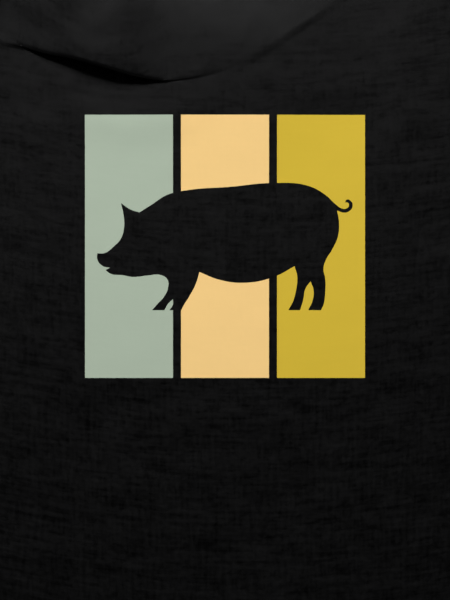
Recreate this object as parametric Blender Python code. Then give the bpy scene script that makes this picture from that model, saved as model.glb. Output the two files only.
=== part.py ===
# A black short-sleeved T-shirt, size L, laid flat on its back with the printed side up.
# Metres, +Z up, +Y towards the neck. Left and right are the wearer's, so the left sleeve is at +X.
# The solids are the shirt's cut pieces as they lie: the back panel on the surface, the front panel
# over it with its folds, the sleeves, the folded hems, the ribbed neckband in its two halves,
# the tape inside the back neck, and the printed colour blocks.

import math
from collections import namedtuple

import bmesh
import bpy
import numpy as np

# Sizes of the garment, measured flat
OVERALL_LENGTH = 0.756
BODY_LENGTH = 0.750
CHEST_WIDTH = 0.560
HEM_WIDTH = 0.552
SHOULDER_WIDTH = 0.476
SHOULDER_DROP = 0.045
ARMHOLE_DEPTH = 0.262
ACROSS_FRONT = 0.444
NECK_WIDTH = 0.190
FRONT_NECK_DROP = 0.112
BACK_NECK_DROP = 0.030
NECKBAND_WIDTH = 0.0186
TAPE_WIDTH = 0.010
SLEEVE_LENGTH = 0.215
SLEEVE_OPENING = 0.190
SLEEVE_ANGLE = math.radians(25)
CUFF_ANGLE = math.radians(88)
HEM_DEPTH = 0.024
SLEEVE_HEM_DEPTH = 0.022

# Thicknesses and heights above the surface
GAP = 0.0003
NECK_GAP = 0.0006
LAYER = 0.0014
HEM_LAYER = 0.0020
TAPE_LAYER = 0.0006
LAID_HEIGHT = 0.0052
HEM_RISE = 0.0006
BAND_THICKNESS = 0.0030
BAND_EDGE = 0.0008
INK = 0.0005

# Places along the length
HEM_Y = -OVERALL_LENGTH / 2
SHOULDER_Y = HEM_Y + BODY_LENGTH
UNDERARM_Y = SHOULDER_Y - ARMHOLE_DEPTH
FRONT_FLOOR = LAYER + GAP

# The print: three upright colour blocks with a pig in silhouette left unprinted across them
BLOCK_WIDTH = 0.0792
BLOCK_HEIGHT = 0.2367
BLOCK_SPACING = 0.0864
PRINT_CENTRE_Y = 0.0252
PIG_GROUND_Y = PRINT_CENTRE_Y - 0.0580
QUIET_MARGIN = 0.030

# How finely the pieces are faceted
COARSE_STEP = 0.020
ACROSS_STEP = 0.0096
CREASE_STEP = 0.0028
ROLL_STEP = 0.0095
SLEEVE_STEP = 0.0135
CURVE_STEPS = 18
NECK_STEPS = 28
PATH_STEPS = 14
OUTLINE_STEPS = 3

Fold = namedtuple("Fold", "start middle end height width")

# The line along which the chest falls in under its roll: x, y, height of the roll above it,
# how far it overhangs the line, and how level the cloth stays from there to the seams
CHEST_CREASE = [
    (-0.2330, 0.2260, 0.0002, 0.0000, 8.0),
    (-0.2025, 0.2092, 0.0008, 0.0000, 8.0),
    (-0.1845, 0.2034, 0.0020, 0.0003, 8.0),
    (-0.1575, 0.1916, 0.0076, 0.0048, 8.0),
    (-0.1278, 0.1780, 0.0134, 0.0118, 8.0),
    (-0.0972, 0.1692, 0.0140, 0.0124, 8.0),
    (-0.0738, 0.1698, 0.0076, 0.0064, 7.0),
    (-0.0522, 0.1730, 0.0022, 0.0003, 5.0),
    (-0.0225, 0.1768, 0.0009, 0.0000, 3.6),
    (0.0072, 0.1858, 0.0006, 0.0000, 2.2),
    (0.0378, 0.2029, 0.0005, 0.0000, 1.3),
    (0.0675, 0.2227, 0.0005, 0.0000, 1.0),
    (0.0972, 0.2425, 0.0004, 0.0000, 1.0),
    (0.1250, 0.2680, 0.0002, 0.0000, 1.0),
    (0.1420, 0.2900, 0.0000, 0.0000, 1.0),
]
ROLL_RISE = 0.0050
GAP_DEPTH = 0.0024
GAP_WIDTH = 0.0042
SEAM_DROP = 0.0016
CREASE_ROW = 0.185
CREASE_TOP = 0.212

# Soft folds on the wearer's left half; the right half has the same ones, a little shifted
BODY_FOLDS = [
    Fold((0.276, 0.112), (0.248, 0.116), (0.212, 0.098), 0.0050, 0.0060),
    Fold((0.276, 0.104), (0.252, 0.084), (0.222, 0.050), 0.0056, 0.0065),
    Fold((0.274, 0.090), (0.262, 0.056), (0.240, 0.010), 0.0045, 0.0065),
    Fold((0.279, -0.040), (0.250, -0.082), (0.214, -0.110), 0.0036, 0.0090),
    Fold((0.278, -0.150), (0.258, -0.196), (0.222, -0.244), 0.0042, 0.0090),
    Fold((0.262, -0.378), (0.250, -0.340), (0.226, -0.290), 0.0046, 0.0085),
    Fold((0.150, -0.380), (0.138, -0.352), (0.112, -0.318), 0.0034, 0.0100),
    Fold((0.048, -0.380), (0.054, -0.356), (0.070, -0.330), 0.0026, 0.0110),
    Fold((0.226, 0.304), (0.190, 0.312), (0.150, 0.330), 0.0034, 0.0075),
    Fold((0.218, 0.246), (0.200, 0.270), (0.176, 0.300), 0.0030, 0.0080),
]
SLEEVE_FOLDS = [
    Fold((0.286, 0.118), (0.292, 0.160), (0.282, 0.210), 0.0070, 0.0075),
    Fold((0.290, 0.112), (0.320, 0.146), (0.336, 0.196), 0.0064, 0.0080),
    Fold((0.300, 0.100), (0.340, 0.114), (0.372, 0.142), 0.0050, 0.0080),
    Fold((0.404, 0.152), (0.378, 0.176), (0.340, 0.226), 0.0038, 0.0090),
    Fold((0.262, 0.286), (0.300, 0.272), (0.346, 0.268), 0.0036, 0.0075),
]
SHIFT = 0.006
SIDE_ROLL_HEIGHT = 0.0030
SIDE_ROLL_WIDTH = 0.016
SWELL = 0.0011

# The pig's outline in millimetres from the print's middle line and the pig's ground line.
# A third value of 1 marks a sharp corner, such as the tip of an ear or a hoof.
PIG_OUTLINE = [
    (-93.6, 97.0, 1), (-85.0, 91.2, 0), (-77.0, 88.6, 1), (-66.0, 95.6, 0), (-52.0, 104.4, 0),
    (-34.0, 108.6, 0), (4.0, 111.6, 0), (46.0, 115.2, 0), (74.0, 112.8, 0), (90.0, 104.6, 0),
    (100.0, 95.6, 0), (104.6, 92.4, 0), (108.8, 92.0, 0), (111.4, 94.2, 0), (110.8, 97.2, 0),
    (108.0, 97.6, 1), (109.6, 100.2, 0), (113.6, 98.6, 0), (114.8, 94.0, 0), (111.6, 89.6, 0),
    (106.8, 88.4, 0), (100.8, 90.4, 1), (102.6, 80.0, 0), (101.6, 67.0, 0), (96.6, 55.4, 0),
    (90.8, 45.8, 0), (88.6, 38.0, 0), (90.2, 29.0, 0), (90.0, 14.0, 0), (88.8, 6.0, 0),
    (86.4, 0.6, 1), (74.8, 0.6, 1), (78.6, 8.6, 0), (79.8, 18.0, 0), (77.0, 26.6, 1),
    (72.4, 20.0, 0), (70.4, 10.0, 0), (67.6, 0.6, 1), (57.0, 0.6, 1), (61.4, 9.0, 0),
    (64.0, 19.0, 0), (65.0, 31.0, 0), (62.6, 40.2, 1), (44.0, 30.6, 0), (19.0, 25.4, 0),
    (-5.0, 28.0, 0), (-23.0, 35.0, 1), (-26.4, 24.0, 0), (-32.4, 12.6, 0), (-36.6, 6.0, 0),
    (-39.4, 0.6, 1), (-50.0, 0.6, 1), (-47.0, 5.4, 0), (-46.4, 11.0, 1), (-51.2, 6.4, 0),
    (-54.6, 0.6, 1), (-65.8, 0.6, 1), (-60.4, 6.6, 0), (-54.4, 13.4, 0), (-51.2, 21.0, 0),
    (-52.0, 28.6, 0), (-58.4, 32.4, 0), (-70.0, 31.8, 0), (-82.0, 30.6, 0), (-93.0, 32.2, 0),
    (-103.0, 33.4, 0), (-107.6, 36.8, 1), (-103.4, 38.8, 1), (-110.4, 40.6, 0), (-114.8, 46.0, 0),
    (-115.0, 51.8, 1), (-108.4, 52.0, 0), (-100.0, 58.0, 0), (-93.4, 65.6, 0), (-90.8, 75.6, 0),
    (-91.2, 86.0, 0),
]


def clear_scene():
    for old in list(bpy.data.objects):
        bpy.data.objects.remove(old)


def eased(low, high, value):
    """0 below low, 1 above high, and a smooth rise between them."""
    share = np.clip((value - low) / (high - low), 0, 1)
    return share * share * (3 - 2 * share)


def bezier(points, steps):
    """Points along a quadratic or cubic Bezier curve."""
    degree = len(points) - 1
    found = []
    for share in np.linspace(0, 1, steps + 1):
        weights = [
            math.comb(degree, i) * share**i * (1 - share) ** (degree - i)
            for i in range(degree + 1)
        ]
        found.append(
            tuple(sum(w * p[k] for w, p in zip(weights, points)) for k in range(2))
        )
    return found


def armhole(side, grow=0.0, steps=CURVE_STEPS):
    """The armhole seam from the underarm up to the shoulder, moved outwards by grow."""
    inner = ACROSS_FRONT / 2
    under, shoulder = CHEST_WIDTH / 2, SHOULDER_WIDTH / 2
    shoulder_y = SHOULDER_Y - SHOULDER_DROP
    guide = [
        (under, UNDERARM_Y),
        (inner, UNDERARM_Y + 0.004),
        (inner - 0.006, UNDERARM_Y + 0.095),
        (shoulder, shoulder_y),
    ]
    return [(side * (x + grow), y) for x, y in bezier(guide, steps)]


def side_seam(side, low, high, steps=CURVE_STEPS):
    """The side seam between two heights, waving a little as it lies."""
    points = []
    for y in np.linspace(low, high, steps + 1):
        share = (y - HEM_Y) / (UNDERARM_Y - HEM_Y)
        half = (HEM_WIDTH + (CHEST_WIDTH - HEM_WIDTH) * share) / 2
        wave = 0.0022 * math.sin(9.0 * share + side) * math.sin(math.pi * share)
        points.append((side * (half + wave), y))
    return points


def neck_curve(half, drop, lip=0.0, steps=NECK_STEPS):
    """Half an ellipse round the front neck, from the wearer's left to the right.

    Its ends may pass the shoulder by a lip.
    """
    over = math.asin(lip / drop)
    return [
        (half * math.cos(turn), SHOULDER_Y - drop * math.sin(turn))
        for turn in np.linspace(-over, math.pi + over, steps + 1)
    ]


def back_neck_curve(half, y, drop, steps=NECK_STEPS):
    """A shallow curve across the back neck, from +X to -X."""
    return [
        (half * share, y - drop * (1 - share * share))
        for share in np.linspace(1, -1, steps + 1)
    ]


def body_outline(neck):
    """A body panel above its hem, with the given neck line, anticlockwise."""
    low = HEM_Y + HEM_DEPTH
    right = side_seam(-1, low, UNDERARM_Y)[:-1] + armhole(-1)
    left = side_seam(1, low, UNDERARM_Y)[:-1] + armhole(1)
    return left + neck + right[::-1]


def sleeve_corners(side):
    """Shoulder point, top and bottom of the opening, underarm point."""
    shoulder = np.array([SHOULDER_WIDTH / 2, SHOULDER_Y - SHOULDER_DROP])
    along = np.array([math.cos(SLEEVE_ANGLE), -math.sin(SLEEVE_ANGLE)])
    down_turn = SLEEVE_ANGLE + CUFF_ANGLE
    down = np.array([math.cos(down_turn), -math.sin(down_turn)])
    top = shoulder + SLEEVE_LENGTH * along
    bottom = top + SLEEVE_OPENING * down
    under = np.array([CHEST_WIDTH / 2, UNDERARM_Y])
    flip = np.array([side, 1])
    return shoulder * flip, top * flip, bottom * flip, under * flip


def sleeve_outline(side):
    """The sleeve without its hem, meeting the armhole seam."""
    shoulder, top, bottom, under = sleeve_corners(side)
    inset = SLEEVE_HEM_DEPTH + GAP
    top_end = top + (shoulder - top) / np.linalg.norm(shoulder - top) * inset
    bottom_end = bottom + (under - bottom) / np.linalg.norm(under - bottom) * inset
    edge = armhole(side, GAP)
    sag = bezier([edge[-1], (shoulder + top) / 2 + [0, 0.004], top_end], 6)
    lift = bezier([bottom_end, (under + bottom) / 2 + [0, 0.003], edge[0]], 6)
    return edge[:-1] + sag[:-1] + [top_end] + lift[:-1]


def sleeve_hem_outline(side):
    """The folded band round the sleeve's opening."""
    shoulder, top, bottom, under = sleeve_corners(side)
    top_start = top + (shoulder - top) / np.linalg.norm(shoulder - top) * SLEEVE_HEM_DEPTH
    bottom_start = (
        bottom + (under - bottom) / np.linalg.norm(under - bottom) * SLEEVE_HEM_DEPTH
    )
    return [top_start, top, bottom, bottom_start]


def hem_outline():
    """The folded band along the bottom of the body."""
    high = HEM_Y + HEM_DEPTH - GAP
    return side_seam(1, HEM_Y, high, 2) + side_seam(-1, HEM_Y, high, 2)[::-1]


def mirrored(folds):
    """The folds of the other half, shifted a little so that the halves differ."""
    moved = []
    for i, fold in enumerate(folds):
        dx, dy = SHIFT * math.sin(2.4 * i + 1), SHIFT * math.cos(1.7 * i)
        ends = [(-x + dx, y + dy) for x, y in fold[:3]]
        moved.append(Fold(*ends, fold.height * (0.85 + 0.2 * math.sin(3 * i)), fold.width))
    return moved


def nearest_on(path, x, y):
    """For each place, its signed distance from a path and how far along the path it is."""
    path = np.asarray(path, float)
    best = np.full(x.shape, np.inf)
    sign = np.ones(x.shape)
    along = np.zeros(x.shape)
    for i, (a, b) in enumerate(zip(path[:-1, :2], path[1:, :2])):
        d = b - a
        rx, ry = x - a[0], y - a[1]
        share = np.clip((rx * d[0] + ry * d[1]) / (d @ d), 0, 1)
        away = np.hypot(rx - share * d[0], ry - share * d[1])
        nearer = away < best
        best = np.where(nearer, away, best)
        sign = np.where(nearer, np.sign(d[0] * ry - d[1] * rx), sign)
        along = np.where(nearer, i + share, along)
    return best * sign, along


def fold_height(fold, x, y):
    """A rounded ridge that swells from nothing at both ends."""
    path = bezier(fold[:3], PATH_STEPS)
    away, along = nearest_on(path, x, y)
    swell = np.sin(np.pi * np.clip(along / PATH_STEPS, 0, 1)) ** 0.7
    return fold.height * swell * np.exp(-((away / fold.width) ** 2))


def room_above(x, y):
    """Distance to the armholes, shoulders and neck, blended so that it has no kinks."""
    shoulder = np.array([SHOULDER_WIDTH / 2, SHOULDER_Y - SHOULDER_DROP])
    corner = np.array([NECK_WIDTH / 2, SHOULDER_Y])
    edges = [neck_curve(NECK_WIDTH / 2, FRONT_NECK_DROP)]
    for side in (1, -1):
        edges.append(armhole(side)[CURVE_STEPS // 2:])
        edges.append([shoulder * [side, 1], corner * [side, 1]])
    sides = [np.abs(nearest_on(edge, x, y)[0]) + 1e-6 for edge in edges]
    return sum(side**-4 for side in sides) ** -0.25


def chest_roll(x, y):
    """The roll of slack cloth across the upper chest, with a gap under its lower edge."""
    crease = np.array(CHEST_CREASE)
    away, _ = nearest_on(crease, x, y)
    line, height, gap, flat = (np.interp(x, crease[:, 0], column) for column in crease.T[1:])
    rise = height * eased(gap - 0.0006, gap + ROLL_RISE, away)
    deep = GAP_DEPTH * np.minimum(gap / GAP_WIDTH, 1)
    dip = deep * np.exp(-(((away - 0.6 * gap) / GAP_WIDTH) ** 2))
    behind = np.maximum(y - line - 0.002, 0)
    sink = (height + SEAM_DROP) * (behind / (behind + room_above(x, y))) ** flat
    return rise - dip - sink


def quiet(x, y):
    """1 over the print, where the cloth lies flat, and 0 well away from it."""
    half_x = BLOCK_SPACING + BLOCK_WIDTH / 2
    out_x = np.abs(x) - half_x
    out_y = np.abs(y - PRINT_CENTRE_Y) - BLOCK_HEIGHT / 2
    away = np.maximum(out_x, out_y)
    return 1 - eased(0.004, QUIET_MARGIN, away)


def side_roll(x, y):
    """The soft roll that the body keeps along its side seams."""
    inside = CHEST_WIDTH / 2 - np.abs(x)
    below = 1 - eased(UNDERARM_Y - 0.03, UNDERARM_Y + 0.01, y)
    wave = 0.65 + 0.35 * np.sin(16 * y + 2 * np.sign(x))
    hump = np.exp(-(((inside - SIDE_ROLL_WIDTH) / SIDE_ROLL_WIDTH) ** 2))
    return SIDE_ROLL_HEIGHT * below * wave * hump


def cloth_top(x, y):
    """Height of the uppermost layer of cloth at each place."""
    swell = SWELL * (np.sin(13 * x + 5 * y) * np.cos(9 * y - 4 * x) + 0.4 * np.sin(31 * x - 17 * y))
    height = swell + side_roll(x, y)
    for fold in BODY_FOLDS + mirrored(BODY_FOLDS) + SLEEVE_FOLDS + mirrored(SLEEVE_FOLDS):
        height = height + fold_height(fold, x, y)
    return LAID_HEIGHT + (1 - quiet(x, y)) * (height + chest_roll(x, y))


def follow_crease(x, y):
    """Bends the rows of a grid near CREASE_ROW so that they run along the crease."""
    crease = np.array(CHEST_CREASE)
    line = np.minimum(np.interp(x, crease[:, 0], crease[:, 1]), CREASE_TOP)
    near = eased(0.08, CREASE_ROW - 0.02, y) * (1 - eased(CREASE_ROW + 0.03, SHOULDER_Y - 0.04, y))
    return y + (line - CREASE_ROW) * near


def lines(low, high, step):
    """Evenly spaced grid lines from low to high, about step apart."""
    return np.linspace(low, high, max(2, round((high - low) / step) + 1))


def material(name, colour, roughness):
    made = bpy.data.materials.new(name)
    made.use_nodes = True
    shader = made.node_tree.nodes["Principled BSDF"]
    shader.inputs["Base Color"].default_value = (*colour, 1)
    shader.inputs["Roughness"].default_value = roughness
    shader.inputs["Metallic"].default_value = 0
    return made


def add_object(name, mesh_data, finish=None):
    made = bpy.data.objects.new(name, mesh_data)
    bpy.context.scene.collection.objects.link(made)
    if finish is None:
        made.hide_render = True
        made.display_type = "WIRE"
    else:
        mesh_data.materials.append(finish)
    return made


def prism(name, outline, low, high, finish=None):
    """An outline in plan, extruded from one height to another."""
    mesh = bmesh.new()
    corners = [mesh.verts.new((px, py, low)) for px, py in outline]
    face = mesh.faces.new(corners)
    risen = bmesh.ops.extrude_face_region(mesh, geom=[face], use_keep_orig=True)
    top = [v for v in risen["geom"] if isinstance(v, bmesh.types.BMVert)]
    bmesh.ops.translate(mesh, verts=top, vec=(0, 0, high - low))
    bmesh.ops.recalc_face_normals(mesh, faces=mesh.faces[:])
    data = bpy.data.meshes.new(name)
    mesh.to_mesh(data)
    mesh.free()
    return add_object(name, data, finish)


def cloth_block(name, x_lines, y_lines, floor, rise, finish, bend=None):
    """A block with a level underside whose top follows the cloth. bend moves its rows."""
    mesh = bmesh.new()
    columns, rows = len(x_lines), len(y_lines)
    bmesh.ops.create_grid(mesh, x_segments=columns - 1, y_segments=rows - 1, size=0.5)
    column = [round((v.co.x + 0.5) * (columns - 1)) for v in mesh.verts]
    row = [round((v.co.y + 0.5) * (rows - 1)) for v in mesh.verts]
    x, y = np.asarray(x_lines)[column], np.asarray(y_lines)[row]
    if bend:
        y = bend(x, y)
    for vert, place in zip(mesh.verts, zip(x, y, cloth_top(x, y) + rise)):
        vert.co = place
    rim = [e for e in mesh.edges if e.is_boundary]
    skirt = bmesh.ops.extrude_edge_only(mesh, edges=rim)["geom"]
    for vert in (v for v in skirt if isinstance(v, bmesh.types.BMVert)):
        vert.co.z = floor
    bmesh.ops.holes_fill(mesh, edges=[e for e in mesh.edges if e.is_boundary], sides=0)
    bmesh.ops.recalc_face_normals(mesh, faces=mesh.faces[:])
    data = bpy.data.meshes.new(name)
    mesh.to_mesh(data)
    mesh.free()
    return add_object(name, data, finish)


def keep_inside(block, outline):
    """Trims a cloth block to the outline of its cut piece."""
    cutter = prism(block.name + "_outline", outline, -0.01, 0.06)
    trim = block.modifiers.new("trim", "BOOLEAN")
    trim.operation = "INTERSECT"
    trim.solver = "EXACT"
    trim.object = cutter
    return block


def build_panels(jersey):
    """The back panel flat on the surface, and the front panel over it."""
    back_neck = back_neck_curve(NECK_WIDTH / 2, SHOULDER_Y, BACK_NECK_DROP)
    prism("back_panel", body_outline(back_neck), 0, LAYER, jersey)
    reach = CHEST_WIDTH / 2 + 0.02
    low, high = CREASE_ROW - 0.008, CREASE_ROW + 0.020
    low_rows = lines(HEM_Y + 0.01, low - ROLL_STEP, COARSE_STEP)
    crease_rows = lines(low, high, CREASE_STEP)
    top_rows = lines(high + ROLL_STEP / 2, SHOULDER_Y + 0.02, ROLL_STEP)
    rows = np.concatenate([low_rows, crease_rows, top_rows])
    columns = lines(-reach, reach, ACROSS_STEP)
    block = cloth_block("front_panel", columns, rows, FRONT_FLOOR, 0, jersey, follow_crease)
    keep_inside(block, body_outline(neck_curve(NECK_WIDTH / 2, FRONT_NECK_DROP)))


def build_hems(jersey):
    """The bottom hem's back and front bands, one over the other."""
    prism("hem_back", hem_outline(), 0, HEM_LAYER, jersey)
    reach = HEM_WIDTH / 2 + 0.02
    rows = lines(HEM_Y - 0.012, HEM_Y + HEM_DEPTH + 0.012, 0.016)
    columns = lines(-reach, reach, ACROSS_STEP)
    floor = HEM_LAYER + GAP
    keep_inside(cloth_block("hem_front", columns, rows, floor, HEM_RISE, jersey), hem_outline())


def build_sleeve(name, side, jersey):
    """A short set-in sleeve, lying flat, and the folded band round its opening."""
    for piece, outline, rise in (
        ("sleeve_", sleeve_outline(side), 0),
        ("sleeve_hem_", sleeve_hem_outline(side), HEM_RISE),
    ):
        plan = np.array(outline)
        low, high = plan.min(0) - SLEEVE_STEP, plan.max(0) + SLEEVE_STEP
        columns = lines(low[0], high[0], SLEEVE_STEP)
        rows = lines(low[1], high[1], SLEEVE_STEP)
        keep_inside(cloth_block(piece + name, columns, rows, 0, rise, jersey), outline)


def build_neckband(rib, tape):
    """The ribbed band in two halves, which meet along the shoulder folds, and the neck tape."""
    lip = OVERALL_LENGTH - BODY_LENGTH
    half, drop = NECK_WIDTH / 2, FRONT_NECK_DROP
    seam = neck_curve(half - NECK_GAP, drop - NECK_GAP)
    edge = neck_curve(half - NECKBAND_WIDTH, drop - NECKBAND_WIDTH, lip)
    bottom = FRONT_FLOOR + TAPE_LAYER + 2 * GAP
    front = prism("neckband_front", edge + seam[::-1], bottom, bottom + BAND_THICKNESS, rib)
    soft = front.modifiers.new("soft_edges", "BEVEL")
    soft.width = BAND_EDGE
    soft.segments = 2
    soft.limit_method = "ANGLE"
    soft.angle_limit = math.radians(60)
    seam = back_neck_curve(half - NECK_GAP, SHOULDER_Y + NECK_GAP, BACK_NECK_DROP)
    edge_drop = BACK_NECK_DROP + lip - NECKBAND_WIDTH
    edge = back_neck_curve(half - NECKBAND_WIDTH, SHOULDER_Y + lip, edge_drop)
    prism("neckband_back", seam + edge[::-1], 0, HEM_LAYER, rib)
    tape_half = NECK_WIDTH / 2 - 0.006
    tape_y = SHOULDER_Y - 0.004
    high = back_neck_curve(tape_half, tape_y, BACK_NECK_DROP - 0.002)
    low = back_neck_curve(tape_half, tape_y - TAPE_WIDTH, BACK_NECK_DROP - 0.002)
    prism("neck_tape", high + low[::-1], FRONT_FLOOR, FRONT_FLOOR + TAPE_LAYER, tape)


def pig_cutter():
    """The pig's outline as an upright prism, used to leave the figure unprinted."""
    flat = bpy.data.curves.new("pig_figure", "CURVE")
    flat.dimensions = "2D"
    flat.fill_mode = "BOTH"
    flat.extrude = 0.004
    flat.resolution_u = OUTLINE_STEPS
    spline = flat.splines.new("BEZIER")
    spline.bezier_points.add(len(PIG_OUTLINE) - 1)
    spline.use_cyclic_u = True
    for point, (px, py, sharp) in zip(spline.bezier_points, PIG_OUTLINE):
        point.co = (px / 1000, PIG_GROUND_Y + py / 1000, LAID_HEIGHT)
        point.handle_left_type = point.handle_right_type = "VECTOR" if sharp else "AUTO"
    shape = bpy.data.objects.new("pig_curve", flat)
    data = bpy.data.meshes.new_from_object(shape)
    bpy.data.objects.remove(shape)
    mesh = bmesh.new()
    mesh.from_mesh(data)
    bmesh.ops.remove_doubles(mesh, verts=mesh.verts[:], dist=1e-6)
    bmesh.ops.recalc_face_normals(mesh, faces=mesh.faces[:])
    mesh.to_mesh(data)
    mesh.free()
    return add_object("pig_cutter", data)


def build_print(inks):
    """Three colour blocks, the middle one in two where the pig crosses it."""
    cutter = pig_cutter()
    low_y, high_y = PRINT_CENTRE_Y - BLOCK_HEIGHT / 2, PRINT_CENTRE_Y + BLOCK_HEIGHT / 2
    blocks = [
        ("print_sage", -1, low_y, high_y),
        ("print_peach_lower", 0, low_y, PRINT_CENTRE_Y),
        ("print_peach_upper", 0, PRINT_CENTRE_Y, high_y),
        ("print_mustard", 1, low_y, high_y),
    ]
    bottom = LAID_HEIGHT + GAP
    for name, place, low, high in blocks:
        left = place * BLOCK_SPACING - BLOCK_WIDTH / 2
        right = left + BLOCK_WIDTH
        outline = [(left, low), (right, low), (right, high), (left, high)]
        block = prism(name, outline, bottom, bottom + INK, inks[place])
        knock_out = block.modifiers.new("knock_out", "BOOLEAN")
        knock_out.operation = "DIFFERENCE"
        knock_out.solver = "EXACT"
        knock_out.object = cutter


def main():
    clear_scene()
    jersey = material("black_jersey", (0.0040, 0.0040, 0.0042), 0.9)
    rib = material("black_rib", (0.0046, 0.0046, 0.0048), 0.9)
    tape = material("black_tape", (0.0090, 0.0090, 0.0095), 0.8)
    inks = {
        -1: material("sage_ink", (0.381, 0.451, 0.356), 0.6),
        0: material("peach_ink", (0.880, 0.591, 0.235), 0.6),
        1: material("mustard_ink", (0.610, 0.434, 0.040), 0.6),
    }
    build_panels(jersey)
    build_hems(jersey)
    build_sleeve("left", 1, jersey)
    build_sleeve("right", -1, jersey)
    build_neckband(rib, tape)
    build_print(inks)


main()
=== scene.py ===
# %% [markdown]
# # A printed T-shirt, laid flat
#
# This lesson dresses a plain model of a black cotton T-shirt. The shirt lies on its back with the
# printed side up. One soft fold of slack cloth rolls over the upper chest and hides a deep gap.
# The plain model gives the size and place of every piece. Here each piece becomes real cloth:
# thin, rolled at its edges, knitted, sewn and printed.

# %% Load the plain model
import math
from collections import namedtuple

import bmesh
import bpy
import numpy as np
from mathutils import Matrix, Vector, noise


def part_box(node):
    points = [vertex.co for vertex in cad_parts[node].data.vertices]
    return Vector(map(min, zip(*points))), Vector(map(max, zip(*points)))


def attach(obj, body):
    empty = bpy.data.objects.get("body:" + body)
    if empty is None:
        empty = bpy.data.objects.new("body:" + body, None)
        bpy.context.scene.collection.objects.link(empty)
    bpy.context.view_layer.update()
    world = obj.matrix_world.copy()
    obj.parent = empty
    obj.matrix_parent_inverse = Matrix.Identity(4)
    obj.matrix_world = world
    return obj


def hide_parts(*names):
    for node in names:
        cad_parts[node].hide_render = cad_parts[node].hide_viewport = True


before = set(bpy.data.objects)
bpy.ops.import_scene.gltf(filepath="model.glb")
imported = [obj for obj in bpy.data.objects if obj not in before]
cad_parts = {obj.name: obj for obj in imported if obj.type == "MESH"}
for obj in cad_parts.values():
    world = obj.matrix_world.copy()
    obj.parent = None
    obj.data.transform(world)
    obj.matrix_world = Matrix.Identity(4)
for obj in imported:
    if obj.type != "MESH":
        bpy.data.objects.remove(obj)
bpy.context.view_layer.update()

# %% [markdown]
# ## The measures of the shirt
#
# A pattern cutter works from a short list: body length, chest width, neck width, sleeve length.
# The same list is kept here, in metres, measured flat. Everything that follows is worked out
# from it, so the shirt could be graded to another size by changing these lines alone.

# %% Measures
BODY_LENGTH = 0.750
OVERALL_LENGTH = 0.756
CHEST_WIDTH = 0.560
HEM_WIDTH = 0.552
SHOULDER_WIDTH = 0.476
SHOULDER_DROP = 0.045
ARMHOLE_DEPTH = 0.262
ACROSS_FRONT = 0.444
NECK_WIDTH = 0.190
FRONT_NECK_DROP = 0.112
BACK_NECK_DROP = 0.030
NECKBAND_WIDTH = 0.0186
TAPE_WIDTH = 0.010
SLEEVE_LENGTH = 0.215
SLEEVE_OPENING = 0.190
SLEEVE_ANGLE = math.radians(25)
CUFF_ANGLE = math.radians(88)
HEM_DEPTH = 0.024
SLEEVE_HEM_DEPTH = 0.022

CLOTH = 0.0007
LAID_HEIGHT = 0.0052
HEM_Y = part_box("hem_back")[0].y
SHOULDER_Y = HEM_Y + BODY_LENGTH
UNDERARM_Y = SHOULDER_Y - ARMHOLE_DEPTH
print(f"from hem {HEM_Y:.3f} to shoulder {SHOULDER_Y:.3f}")

# %% [markdown]
# ## Seam lines
#
# A flat garment is a handful of lines: side seams, armholes, shoulders and a neck. Short curves
# with few control points give clean lines, and they can be drawn again at any fineness. The
# armhole is one cubic Bezier curve, the neck is half an ellipse, and the side seams wave by a
# couple of millimetres, because cloth never lies quite straight.

# %% Seam lines
def bezier(points, steps):
    """Points along a quadratic or cubic Bezier curve."""
    degree = len(points) - 1
    found = []
    for share in np.linspace(0, 1, steps + 1):
        weights = [
            math.comb(degree, i) * share**i * (1 - share) ** (degree - i)
            for i in range(degree + 1)
        ]
        found.append(tuple(sum(w * p[k] for w, p in zip(weights, points)) for k in range(2)))
    return found


def armhole(side, grow=0.0, steps=60):
    """The armhole seam from the underarm up to the shoulder, moved outwards by grow."""
    inner = ACROSS_FRONT / 2
    guide = [
        (CHEST_WIDTH / 2, UNDERARM_Y),
        (inner, UNDERARM_Y + 0.004),
        (inner - 0.006, UNDERARM_Y + 0.095),
        (SHOULDER_WIDTH / 2, SHOULDER_Y - SHOULDER_DROP),
    ]
    return [(side * (x + grow), y) for x, y in bezier(guide, steps)]


def side_seam(side, low, high, steps=120):
    """The side seam between two heights, waving a little as it lies."""
    points = []
    for y in np.linspace(low, high, steps + 1):
        share = (y - HEM_Y) / (UNDERARM_Y - HEM_Y)
        half = (HEM_WIDTH + (CHEST_WIDTH - HEM_WIDTH) * share) / 2
        wave = 0.0022 * math.sin(9.0 * share + side) * math.sin(math.pi * share)
        points.append((side * (half + wave), y))
    return points


def neck_curve(half, drop, steps=100):
    """Half an ellipse round the front neck, from the wearer's left to the right."""
    return [
        (half * math.cos(turn), SHOULDER_Y - drop * math.sin(turn))
        for turn in np.linspace(0, math.pi, steps + 1)
    ]


def back_neck_curve(half, y, drop, steps=90):
    """A shallow curve across the back neck, from the wearer's left to the right."""
    return [
        (half * share, y - drop * (1 - share * share))
        for share in np.linspace(1, -1, steps + 1)
    ]


def shoulder_seam(side, steps=40):
    """The straight shoulder seam, from the armhole up to the neck."""
    ends = [(SHOULDER_WIDTH / 2, SHOULDER_Y - SHOULDER_DROP), (NECK_WIDTH / 2, SHOULDER_Y)]
    return [(side * x, y) for x, y in bezier(ends, steps)]


def run_along(line):
    """How far along a line each of its points is."""
    steps = np.diff(np.asarray(line, float), axis=0)
    return np.concatenate([[0], np.cumsum(np.linalg.norm(steps, axis=1))])


print(f"armhole {run_along(armhole(1))[-1] * 1000:.0f} mm along its seam")

# %% Body outlines
def body_outline(neck):
    """A whole body panel from its hem to its neck, anticlockwise."""
    halves = [
        side_seam(side, HEM_Y, UNDERARM_Y)[:-1] + armhole(side)[:-1] + shoulder_seam(side)[:-1]
        for side in (1, -1)
    ]
    return halves[0] + neck + halves[1][::-1]


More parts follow.
